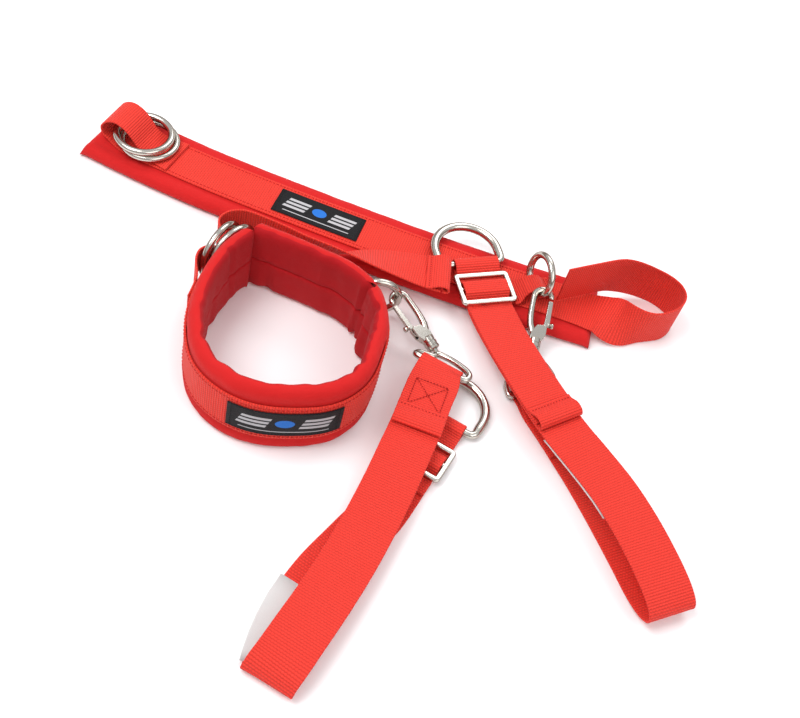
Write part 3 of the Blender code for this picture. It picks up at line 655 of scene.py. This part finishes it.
def pad_profile(flare):
    """(across, height) round a pad: outer face, rounded edge, lining and other edge.

    flare is how far the first edge's outer corner spreads, in mm.
    """
    half = PAD_WIDTH / 2
    top = [(-19.5, 11.35), (-20.4, 11.1), (-22.5, 11.75), (-25.5, 11.9), (-28.4, 11.2), (-30.8, 9.6),
           (-32.4, 7.4), (-half, 5.2), (-32.5, 3.1), (-31.0, 1.5), (-28.6, 0.5), (-26, 0.15)]
    low = [(-22, 0.0), (-18, 0.0), (-14, 0.0), (-10, 0.0), (-6, 0.0), (-2.6, 0.0), (-1.2, 0.3),
           (-0.45, 1.4)]
    left = [(0, 11.3), (-8, 11.3), (-16, 11.3)] + top + low + [(0, 1.75)]
    right = [(-a, b) for a, b in reversed(left[1:-1])]
    left = [
        (a, b + flare * max(0.0, 1.0 - abs(abs(a) - 30.5) / 8.0) * min(1.0, b / 7.0))
        for a, b in left
    ]
    return left + right


def creases(s, a, folds):
    """How far the cloth stands out at (distance, across) from folds, in mm.

    Each fold is (distance, lean, width, depth): a valley that leans along the pad as it rises.
    """
    depth = 0.0
    for at, lean, width, deep in folds:
        off = (s - at - lean * a) / width
        depth -= deep * math.exp(-off * off) * (0.55 + 0.45 * math.cos(a * 0.07 + at))
        side = (abs(off) - 1.7) / 0.9
        depth += 0.45 * deep * math.exp(-side * side)
    return depth


def pad(name, frames, material, folds, rim, blunt, flare, seed):
    """A stuffed pad with folds in its lining.

    rim is the depth of the puckers at its edges, and blunt the length over which its ends round off.
    """
    profile = pad_profile(flare)
    distances = lengths(frames)
    total = distances[-1]
    sections = []
    for (centre, across, normal, _), s in zip(frames, distances):
        end = min(s, total - s)
        turn = 1.0 - min(end, blunt) / blunt
        fat = max(0.3, math.sqrt(1.0 - turn * turn))
        section = []
        for a, b in profile:
            soft = noise.noise(Vector((s * 0.045 + seed, a * 0.06, 3.1)))
            fine = noise.noise(Vector((s * 0.14 + seed, a * 0.04, 7.7)))
            height = 0.6 + (b - 0.6) * fat
            if b < 5.0:
                height -= (creases(s, a, folds) + 0.55 * (soft + fine) * bool(folds)) * fat
            elif abs(a) > 21:
                height -= 0.4 + 0.5 * soft + 0.45 * fine
            outer = max(0.0, (abs(a) - 24.0) / 9.0)
            pucker = outer * rim * (0.6 * fine + 0.55 * soft + 0.15 * creases(s, a, folds))
            edge = (abs(a) - 0.2 + min(0.0, pucker)) / abs(a) if a else 1.0
            section.append(centre + across * a * edge + normal * height)
        sections.append(section)
    around, walked = [], 0.0
    for i, (a, b) in enumerate(profile):
        walked += 0 if not i else math.dist(profile[i - 1], (a, b))
        around.append(walked)
    obj = skin(name, sections, material, distances, around)
    obj.data.materials.append(LINING)
    count = len(profile)
    for face in obj.data.polygons:
        if len(face.vertices) == 4:
            heights = [profile[v % count][1] for v in face.vertices]
            if max(heights) < 3.2:
                face.material_index = 1
    return obj


def stitches(name, frames, offsets, height, body, material, pitch, long, radius, start=0, stop=None):
    """Rows of short raised stitches along a path, one at each offset across it."""
    stop = lengths(frames)[-1] if stop is None else stop
    count = int((stop - start) / pitch)
    marks = [start + pitch * (k + 0.5) for k in range(count)]
    points, faces = [], []
    for centre, across, normal, _ in at_distances(frames, marks):
        along = across.cross(normal)
        for offset in offsets:
            middle = centre + across * offset + normal * height
            add_stitch(points, faces, middle, along, across, normal, long, radius)
    settle(mesh_object(name, points, faces, material), body)


def add_stitch(points, faces, middle, along, across, normal, long, radius):
    base = len(points)
    for u, r in ((-0.5, 0.35), (-0.25, 1.0), (0.25, 1.0), (0.5, 0.35)):
        drop = -0.35 * radius if abs(u) > 0.4 else 0.25 * radius
        for k in range(6):
            t = math.pi * k / 3
            points.append(middle + along * u * long + across * math.cos(t) * radius * r
                          + normal * (math.sin(t) * radius * r + drop))
    for i in range(3):
        for k in range(6):
            a, b = base + i * 6 + k, base + i * 6 + (k + 1) % 6
            faces.append((a, b, b + 6, a + 6))
    faces.append(tuple(base + k for k in range(5, -1, -1)))
    faces.append(tuple(base + 18 + k for k in range(6)))


def line_of_stitches(name, lines, body, normal, material=THREAD, pitch=3.0):
    """Stitches along straight lines given by their two ends."""
    points, faces = [], []
    for a, b in lines:
        a, b = vec(a), vec(b)
        along = (b - a).normalized()
        across = vec(normal).cross(along).normalized()
        count = max(1, round((b - a).length / pitch))
        for k in range(count):
            middle = a.lerp(b, (k + 0.5) / count)
            add_stitch(points, faces, middle, along, across, vec(normal), pitch * 0.68, STITCH_RADIUS)
    settle(mesh_object(name, points, faces, material), body)


def raised(frames, height, first, last):
    """Stations at a height over the frames, leaving out some at each end."""
    kept = frames[first:len(frames) + last]
    return [(*(f[0] + f[2] * height), tuple(f[1]), WEB_WIDTH) for f in kept]


def bar_across(frame, half, height):
    """The two ends of a line across a frame."""
    centre, across, normal = frame[:3]
    return centre - across * half + normal * height, centre + across * half + normal * height


def label(letter, frames, start, length):
    """The woven label on the band, with a stitched border."""
    pieces = at_distances(frames, spread(start, start + length, 2.5))
    lifted = [(c + n * LABEL_HEIGHT, u, n, LABEL_WIDTH) for c, u, n, _ in pieces]
    sections = [web_section(f, LABEL_THICK) for f in lifted]
    distances = lengths(lifted)
    distances = [d * LABEL_LENGTH / distances[-1] for d in distances]
    obj = skin(f"label_{letter}", sections, LABEL, distances, web_around(LABEL_WIDTH))
    settle(obj, "restraints", f"woven_label_{letter}")
    stitches(f"label_edges_{letter}", lifted, (-LABEL_SEAM_AT, LABEL_SEAM_AT), 0.36, "restraints",
             DARK_THREAD, 2.2, 1.6, 0.22)
    for k, f in enumerate((lifted[1], lifted[-2])):
        line = bar_across(f, LABEL_SEAM_AT, 0.36)
        line_of_stitches(f"label_end{k}_{letter}", [line], "restraints", f[2], DARK_THREAD, 2.2)


def keeper(letter, data, normal, bend):
    """A short strap over the tether ring, sewn down at both ends. bend follows the pad's curve."""
    point, wire, out = (vec(v) for v in data)
    normal, wire = vec(normal).normalized(), wire.normalized()
    along = wire.cross(normal)
    foot = point - normal * RING_LIFT
    low = 3.0
    rise = RING_LIFT + 2.4 * abs(normal.dot(out)) + WIRE + 0.3 + WEB_THICK / 2 + 0.1
    rows = []
    for s, h, width in (
        (-18, low, 24), (-13.5, low + 0.2, 23), (-9.5, low + 0.5 * (rise - low), 18),
        (-6, rise - 0.6, 17), (0, rise + 0.6, 17), (6, rise - 0.6, 17),
        (9.5, low + 0.5 * (rise - low), 18), (13.5, low + 0.2, 23), (18, low, 24),
    ):
        rows.append((*(foot + along * s + normal * (h - bend * s * s)), tuple(wire), width))
    frames = with_frames(rows, 6)
    settle(ribbon(f"keeper_{letter}", frames, WEBBING), "restraints", f"ring_keeper_{letter}")
    lines = [bar_across(frames[k], 10, 0.8) for k in (2, 5, -3, -6)]
    line_of_stitches(f"keeper_bartacks_{letter}", lines, "restraints", normal, pitch=2.0)


def hem(name, end, heading, across, top, rise, body):
    """The strap's end turned over and sewn down, with a round nose. top is the strap's upper face.

    Returns the hem's frame and its normal, for more stitching.
    """
    heading = vec(heading).normalized()
    across = vec(across)
    if heading.cross(across).z < 0:
        across = -across
    place = frame_at((end[0], end[1], top), heading, across)
    rows = [(-13, 0.9), (-11, 1.0), (-9, 1.3), (-6.5, 0.55 * rise), (-4, 0.85 * rise), (-1, rise),
            (2, 0.95 * rise), (4.4, 0.68 * rise), (5.6, 0.3 * rise), (5.2, -0.1 * rise),
            (3.4, -0.25 * rise), (1.2, -0.22 * rise)]
    side = place(0, 1) - place(0, 0)
    frames = with_frames([(*place(u, 0, w), tuple(side), WEB_WIDTH) for u, w in rows], 5)
    settle(ribbon(name, frames, WEBBING, thick=1.5), body)
    normal = place(0, 0, 1) - place(0, 0)
    lines = [(place(-10.2, -17.5, 1.75), place(-10.2, 17.5, 1.75))]
    line_of_stitches(f"{name}_seam", lines, body, normal, pitch=2.6)
    return place, normal


def cross_box(name, place, long, wide, height, body, normal):
    """A sewn box with its two diagonals."""
    corners = [place(u, v, height) for u, v in ((0, -wide), (0, wide), (-long, wide), (-long, -wide))]
    lines = [(corners[i], corners[(i + 1) % 4]) for i in range(4)]
    lines += [(corners[0], corners[2]), (corners[1], corners[3])]
    line_of_stitches(name, lines, body, normal, pitch=2.6)


# Hardware


def rounded_bar(name, path, half_wide, half_high, face, material, closed=True):
    """A bar of rounded rectangular section along a path in a plane whose normal is face."""
    face = vec(face).normalized()
    path = [vec(p) for p in path]
    sections = []
    for i, centre in enumerate(path):
        before = path[i - 1] if closed or i else path[0]
        after = path[(i + 1) % len(path)] if closed or i < len(path) - 1 else path[i]
        side = face.cross((after - before).normalized()).normalized()
        section = []
        for k in range(24):
            t = 2 * math.pi * k / 24
            c, d = math.cos(t), math.sin(t)
            a = math.copysign(abs(c) ** 0.5, c) * half_wide
            b = math.copysign(abs(d) ** 0.5, d) * half_high
            section.append(centre + side * a + face * b)
        sections.append(section)
    return skin(name, sections, material, closed=closed, angle=60)


def arc(u, v, radius, start, stop, count):
    found = []
    for k in range(count + 1):
        t = math.radians(start + (stop - start) * k / count)
        found.append((u + radius * math.cos(t), v + radius * math.sin(t)))
    return found


def lathe(name, place, profile, material, sides=40):
    """A turned piece about the frame's u axis, from (u, radius) pairs."""
    sections = []
    for u, radius in profile:
        turns = [2 * math.pi * k / sides for k in range(sides)]
        sections.append([place(u, radius * math.cos(t), radius * math.sin(t)) for t in turns])
    return skin(name, sections, material, angle=30)


def hook(letter, place, body):
    """Bow and shank of round wire, two cheeks for the trigger, and a grooved collar."""
    side = HOOK_SIDE
    rows = [list(p) for p in arc(HOOK_WIRE, 0, side, -90, -270, 24)]
    rows += [[10, side], [19, side - 0.2], [27, side - 1.4], [33, side - 4], [39, 0.6]]
    rows = smooth_path(rows, 2)
    count = len(rows)
    radii = []
    for i in range(count):
        t = i / (count - 1)
        radii.append(HOOK_WIRE * min(1.0, 0.72 + i * 0.1) + 0.9 * max(0.0, (t - 0.86) / 0.14))
    flat = place(0, 0, 1) - place(0, 0, 0)
    path = [place(u, v) for u, v in rows]
    pieces = [tube(f"hook_bow_{letter}", path, radii, NICKEL, 28, flat=flat)]
    cheek = [(27, 0.6), (26, -6.2), (27.2, -7.4), (34.6, -7.4), (40, -4.5), (40, 4.5), (34, 4.5)]
    for low, high in ((-3.6, -1.9), (1.9, 3.6)):
        pieces.append(prism(f"hook_cheek{low}_{letter}", cheek, place, low, high, NICKEL, 0.5))
    core = [(35.4, -6.6), (39.8, -4.4), (39.8, 4.3), (35.4, 4.3)]
    pieces.append(prism(f"hook_core_{letter}", core, place, -1.95, 1.95, NICKEL, 0.2))
    profile = [(37.6, 3.6), (38.0, 4.6), (38.6, 5.15), (41.6, 5.2), (41.9, 4.75), (42.5, 4.75),
               (42.8, 5.2), (45.4, 5.2), (45.7, 4.8), (46.2, 4.8), (46.5, 5.15), (48.3, 5.1),
               (48.9, 4.6), (49.0, 3.6), (49.0, 2.5), (48.2, 2.4)]
    pieces.append(lathe(f"hook_collar_{letter}", place, profile, NICKEL))
    joined(f"hook_{letter}", pieces, body, f"snap_hook_{letter}")


def trigger(letter, place, body):
    """The sprung gate with its hub and a domed, ridged thumb stud."""
    bar = [(4.4, -8.5), (5.2, -8.9), (23, -9.3), (27.6, -7.6), (27.6, -4.4), (23, -5.0), (4.4, -5.4)]
    pieces = [prism(f"gate_bar_{letter}", bar, place, -1.5, 1.5, NICKEL, 0.4)]
    hub = arc(*PIVOT_AT, 2.9, 0, 345, 23)
    pieces.append(prism(f"gate_hub_{letter}", hub, place, -1.5, 0.1, NICKEL, 0.2))
    arm = [(26.5, -7.4), (30.0, -7.2), (30.0, -3.6), (26.5, -3.8)]
    pieces.append(prism(f"gate_arm_{letter}", arm, place, -1.5, 0.1, NICKEL, 0.2))
    origin = place(24.5, -7.5)
    stud = frame_at(origin, place(24.5, -8.5) - origin, place(25.5, -7.5) - origin)
    profile = [(0, 1.7), (1.4, 1.7), (1.8, 2.1), (2.2, 1.75), (2.6, 2.1), (3.0, 1.75), (3.4, 2.2),
               (4.2, 2.3), (4.8, 2.0), (5.1, 1.2), (5.2, 0.3)]
    pieces.append(lathe(f"gate_stud_{letter}", stud, profile, NICKEL, 24))
    joined(f"gate_{letter}", pieces, body, f"snap_trigger_{letter}")


def closed_path(points, steps):
    count = len(points)
    rows = [list(points[(i - 1) % count]) for i in range(count + 3)]
    found = smooth_path(rows, steps)
    return found[steps:steps + count * steps]


def eye(letter, place, loop, body):
    """The swivel's wire loop and its stem, which ends inside the hook's collar."""
    path = closed_path(loop, 4)
    pieces = [tube(f"eye_loop_{letter}", path, EYE_WIRE, NICKEL, 24, closed=True, flat=UP)]
    end = (vec(loop[0]) - place(0, 0)).length
    stem = [(40.9, 1.0), (41.0, 3.1), (43.2, 3.1), (43.3, 2.0), (end - 1.4, 2.0), (end, 1.9)]
    pieces.append(lathe(f"eye_stem_{letter}", place, stem, NICKEL, 28))
    joined(f"eye_{letter}", pieces, body, f"swivel_eye_{letter}")


def d_ring(letter, place, body):
    """A straight bar and a bow of thicker wire."""
    corner = 5.0
    half = D_HALF
    path = [(0, -half + corner + (half - corner) * 2 * k / 12) for k in range(12)]
    path += arc(corner, half - corner, corner, 180, 90, 8)
    path += [(corner + (D_SIDE - corner) * k / 4, half) for k in range(1, 4)]
    path += arc(D_SIDE, 0, half, 90, -90, 48)
    path += [(D_SIDE + (corner - D_SIDE) * k / 4, -half) for k in range(1, 4)]
    path += arc(corner, -half + corner, corner, 270, 180, 8)[:-1]
    flat = place(0, 0, 1) - place(0, 0, 0)
    radii = [D_WIRE + (D_BOW_WIRE - D_WIRE) * min(1.0, max(0.0, u - 1) / 8) for u, _ in path]
    path = [place(u, v) for u, v in path]
    obj = tube(f"d_wire_{letter}", path, radii, NICKEL, 28, closed=True, flat=flat)
    settle(obj, body, f"d_ring_{letter}")


def slide(letter, place, body):
    """The flat three-bar slide, as a cast frame with rounded edges."""
    long, wide, r = SLIDE_HALF_LENGTH - SLIDE_BAR, SLIDE_HALF_WIDTH - SLIDE_BAR, 1.6
    path = []
    for u, v, start in ((wide - r, long - r, 0), (-wide + r, long - r, 90), (-wide + r, -long + r, 180),
                        (wide - r, -long + r, 270)):
        path += arc(u, v, r, start, start + 90, 6)
    fine = []
    for a, b in zip(path, path[1:] + path[:1]):
        gap = math.dist(a, b)
        count = max(1, round(gap / 5))
        for k in range(count):
            fine.append(place(a[0] + (b[0] - a[0]) * k / count, a[1] + (b[1] - a[1]) * k / count))
    face = place(0, 0, 1) - place(0, 0, 0)
    pieces = [rounded_bar(f"slide_frame_{letter}", fine, SLIDE_BAR, 1.5, face, NICKEL)]
    bar = [place(0, long * (k / 5 - 1)) for k in range(11)]
    pieces.append(rounded_bar(f"slide_bar_{letter}", bar, 1.8, 1.5, face, NICKEL, closed=False))
    joined(f"slide_body_{letter}", pieces, body, f"slide_{letter}")


def under_bar(place, across, reach):
    """Stations of a strap that passes under the slide, round the D-ring and back over the middle bar."""
    low = -5.0
    rows = [
        (-26, low), (-12, low), (0, low), (12, low), (reach - 5.4, low), (reach, low - 0.1),
        (reach + 3, low + 1.1), (reach + 4.2, low + 4.1), (reach + 3, low + 7.0), (reach, low + 8.3),
        (reach - 4.2, low + 7.4), (reach - 8.4, low + 4.2),
        (15.5, -3.0), (10.8, -3.0), (8.6, -2.2), (6.6, 0.9), (4.6, 2.7), (0, 2.9), (-4.6, 2.7),
        (-6.6, 0.9), (-8.6, -2.2), (-10.8, -3.0), (-15.5, -3.0), (-20, -2.8),
    ]
    return [(*place(u, 0, w), across) for u, w in rows]


def band(letter, loop, frames, first, last, tail):
    """The webbing sewn along a pad, with the loop for the closing rings and the free tail."""
    middle = raised(frames, BAND_HEIGHT, first, last)
    fine = with_frames(finer(loop) + middle + finer(tail), 3)
    strap = settle(ribbon(f"band_{letter}", fine, WEBBING), "restraints", f"band_strap_{letter}")
    total = lengths(fine)[-1]
    loop_end = lengths(with_frames(finer(loop), 3))[-1]
    tail_start = total - lengths(with_frames(finer(tail), 3))[-1]
    stitches(f"band_seams_{letter}", fine, (-SEAM_AT, SEAM_AT), 0.76, "restraints", BRIGHT_THREAD,
             3.2, 2.5, 0.4, loop_end + 6, tail_start - 6)
    for k, s in enumerate((loop_end + 8, loop_end + 11, tail_start - 8)):
        f = at_distances(fine, [s])[0]
        line_of_stitches(f"band_bar{k}_{letter}", [bar_across(f, 16, 0.75)], "restraints", f[2])


def tether(letter, hold, loop, stations, slide_at, heading, reach, aside, end, tag, bodies):
    """A snap hook and its eye, the folded strap with its blank tag, the slide and the D-ring.

    tag is (first station, last station, shift across, width, side of the strap).
    """
    gate_side = (0.55, 0.835, 0.0) if letter == "a" else (-1, 0, 0)
    place = frame_at(hold, vec(loop[0]) - vec(hold), gate_side)
    hook(letter, place, bodies["snap"])
    trigger(letter, place, bodies["trigger"])
    eye(letter, place, loop, bodies["eye"])
    lateral = (-heading[1], heading[0], 0.0)
    local = frame_at(slide_at, heading, lateral)
    across = (heading[1], -heading[0], 0.0)
    stations = stations + under_bar(local, across, reach) + end
    fine = with_frames(stations, 7)
    strap = settle(ribbon(f"tether_{letter}", fine, WEBBING), bodies["strap"], f"tether_strap_{letter}")
    slide(letter, local, bodies["slide"])
    d_ring(letter, frame_at(local(reach, aside, -0.9), heading, lateral), bodies["d_ring"])
    first, last, shift, width, side = tag
    coarse = with_frames(stations, 2)[first:last]
    sections = []
    for centre, across, normal, _ in coarse:
        frame = (centre + across * shift, across, normal, width)
        sections.append(web_section(frame, TAG_THICK, raise_by=side * (WEB_THICK / 2 + 0.55)))
    distances = lengths(coarse)
    obj = skin(f"tag_{letter}", sections, TAG, distances, web_around(width))
    settle(obj, bodies["strap"], f"blank_tag_{letter}")
    if letter == "a":
        sewn, up = hem("tether_hem_a", stations[0], (-0.07, -1, 0), ACROSS_A, 22.7, 3.0, bodies["strap"])
        cross_box("tether_box_a", lambda u, v, w: sewn(u - 13, v, w), 25, 12.5, 0.25,
                  bodies["strap"], up)
    else:
        hem("tether_hem_b", end[-1], (0.67, -0.74, 0), (0.78, 0.62, 0), 26.6, 5.0, bodies["strap"])


# The two restraints


def tether_link(letter, point, wire, out):
    middle = point + out * TETHER_RING_RADIUS
    obj = ring(f"tether_link_{letter}", middle, out, wire, TETHER_RING_RADIUS, NICKEL)
    settle(obj, f"tether_ring_{letter}", f"tether_ring_{letter}")


def closing_ring(letter, side, start, heading, axis, wire):
    middle = vec(start) + heading * O_RING_RADIUS
    obj = ring(f"closing_ring_{side}_{letter}", middle, heading, axis, O_RING_RADIUS, NICKEL, wire)
    settle(obj, f"o_ring_{side}_{letter}", f"o_ring_{side}_{letter}")


def restraint_a():
    frames = pad_frames(PAD_A, True, 8)
    folds = [(24, 0.05, 3.0, 1.5), (52, -0.1, 5.0, 1.0), (78, 0.15, 4.0, 1.2), (104, 0.12, 4.0, 1.5),
             (131, -0.06, 5.0, 1.2), (166, 0.08, 5.0, 1.0), (203, -0.1, 4.5, 1.4), (226, 0.12, 4.0, 1.5),
             (243, -0.12, 3.4, 1.8), (258, 0.1, 3.0, 2.0), (272, -0.12, 3.0, 2.2), (284, 0.16, 2.8, 2.2),
             (297, 0.10, 5.6, -5.0), (311, -0.05, 1.9, 5.5), (338, 0.10, 5.5, 0.9), (362, -0.05, 6.0, 0.8),
             (392, 0.02, 4.0, 1.2)]
    closed_up = pad_frames(PAD_A[:-1] + [(-132.8, 26.4)], True, 8)
    body = pad("pad_a", round_ends(closed_up), COVER, folds, rim=2.0, blunt=3.0, flare=3.0, seed=2.0)
    settle(body, "restraints", "cuff_cover_a", "cuff_foam_a", "cuff_lining_a")
    coarse = pad_frames(PAD_A, True, 3)
    band("a", [(x, y, 33.0, UP, w) for x, y, w in LOOP_A], coarse, 5, -3, TAIL_A)
    label("a", frames, 147, LABEL_LENGTH - 6)
    hem("tail_hem_a", TAIL_A[-1], (1, 0.14, 0), TAIL_A[-1][3], 27.9, 4.6, "restraints")
    keeper("a", KEEPER_A, (0.375, 0.927, 0.0), 0.0065)
    point, wire, out = (vec(v) for v in KEEPER_A)
    tether_link("a", point, wire, out)
    for side, start, heading in (("outer", (-163.0, 3.0, 33.0), (0.3, 0.954, 0.0)),
                                 ("inner", (-157.6, 6.0, 33.0), (0.45, 0.893, 0.0))):
        closing_ring("a", side, start, vec(heading).normalized(), UP, CLOSING_WIRE_A)
    hold = point + out * TETHER_RING_RADIUS * 2
    bodies = {"snap": "snap_a", "trigger": "trigger_a", "eye": "eye_a", "strap": "tether_a",
              "slide": "slide_a", "d_ring": "d_ring_a"}
    end = [(*frame_at(SLIDE_AT_A, HEADING_A, FLAT)(-29, 0, -2.9), (HEADING_A[1], -HEADING_A[0], 0))]
    tether("a", hold, EYE_A, STRAP_A, SLIDE_AT_A, HEADING_A, 36.0, 0.0, end,
           (48, 54, -8.0, 26, -1), bodies)


def restraint_b():
    frames = pad_frames(PAD_B, False, 24)
    body = pad("pad_b", round_ends(frames), COVER, [], rim=0.9, blunt=7.0, flare=0.8, seed=9.0)
    settle(body, "restraints", "cuff_cover_b", "cuff_foam_b", "cuff_lining_b")
    coarse = pad_frames(PAD_B, False, 3)
    loop = [(x, 140 - (x + 298) * 0.215, z, (0.2, 0.98, 0.0), w) for x, z, w in LOOP_B]
    band("b", loop, coarse, 2, -3, TAIL_B)
    label("b", frames, 164, LABEL_LENGTH)
    keeper("b", KEEPER_B, UP, 0.0)
    point, wire, out = (vec(v) for v in KEEPER_B)
    centre = point + out.normalized() * TETHER_RING_RADIUS
    tether_link("b", point, wire, out)
    bar = vec((0.21, 0.978, 0.0)).normalized()
    for side, start in (("lower", (-275.0, 135.0, 18.4)), ("upper", (-279.6, 135.0, 23.9))):
        closing_ring("b", side, start, vec((bar[1], -bar[0], 0.0)), bar, WIRE)
    angle = math.radians(-25)
    hold = centre + (wire * math.cos(angle) + out * math.sin(angle)) * TETHER_RING_RADIUS
    bodies = {"snap": "snap_b", "trigger": "trigger_b", "eye": "restraints", "strap": "restraints",
              "slide": "slide_b", "d_ring": "d_ring_b"}
    tether("b", hold, EYE_B, STRAP_B, SLIDE_AT_B, HEADING_B, 27.4, 3.5, TAIL_END_B,
           (49, 55, -7.6, 24, 1), bodies)


def trim_nodes():
    """Bright metal on the pins and springs, whose own meshes are kept."""
    for letter in "ab":
        for name, material in ((f"trigger_pin_{letter}", NICKEL), (f"trigger_spring_{letter}", STEEL)):
            node = frame["nodes"][name]
            node.data.materials.clear()
            node.data.materials.append(material)


def studio():
    """A pale floor, a graded backdrop, soft lamps, and a camera in front and above, rolled a little."""
    mesh = bpy.data.meshes.new("floor")
    corners = [(FLOOR_HALF * x, FLOOR_HALF * y, 0) for x, y in ((-1, -1), (1, -1), (1, 1), (-1, 1))]
    mesh.from_pydata(corners, [], [(0, 1, 2, 3)])
    floor = new_object("floor", mesh)
    tools = Nodes("floor")
    _, _, place = tools.coordinates()
    grain = tools.noise(place, 12.0, 2.0)
    shade = tools.mix(scaled(tools, grain, 0.0, 0.25), (0.96, 0.96, 0.965), (0.93, 0.935, 0.94))
    mesh.materials.append(tools.finish(shade, None, 0.7))

    bpy.context.scene.view_settings.view_transform = "Standard"
    world = bpy.data.worlds.new("studio")
    world.use_nodes = True
    tree = world.node_tree
    tree.nodes["Background"].inputs["Strength"].default_value = 0.72
    place = tree.nodes.new("ShaderNodeTexCoord")
    split = tree.nodes.new("ShaderNodeSeparateXYZ")
    ramp = tree.nodes.new("ShaderNodeValToRGB")
    tree.links.new(place.outputs["Generated"], split.inputs[0])
    tree.links.new(split.outputs[2], ramp.inputs[0])
    tree.links.new(ramp.outputs[0], tree.nodes["Background"].inputs["Color"])
    low, middle, high = BACKDROP
    stops = ramp.color_ramp.elements
    stops[0].position, stops[0].color = low
    stops[1].position, stops[1].color = high
    stops.new(middle[0]).color = middle[1]
    bpy.context.scene.world = world

    for name, at, size, power in LAMPS:
        lamp = bpy.data.lights.new(name, "AREA")
        lamp.energy = power
        lamp.size = size
        holder = new_object(name, lamp)
        holder.location = at
        holder.rotation_euler = (-Vector(at)).to_track_quat("-Z", "Y").to_euler()

    aim = metres((0, 0, 0))
    at = metres(CAMERA_AT)
    look = (aim - at).normalized()
    roll = math.radians(CAMERA_ROLL)
    right = Vector((1, 0, 0))
    up = right.cross(look)
    x = right * math.cos(roll) + up * math.sin(roll)
    y = up * math.cos(roll) - right * math.sin(roll)
    data = bpy.data.cameras.new("camera")
    data.lens = CAMERA_LENS
    camera = new_object("camera", data)
    camera.matrix_world = Matrix.Translation(at) @ Matrix((x, y, -look)).transposed().to_4x4()
    bpy.context.scene.camera = camera


restraint_a()
restraint_b()
trim_nodes()
studio()
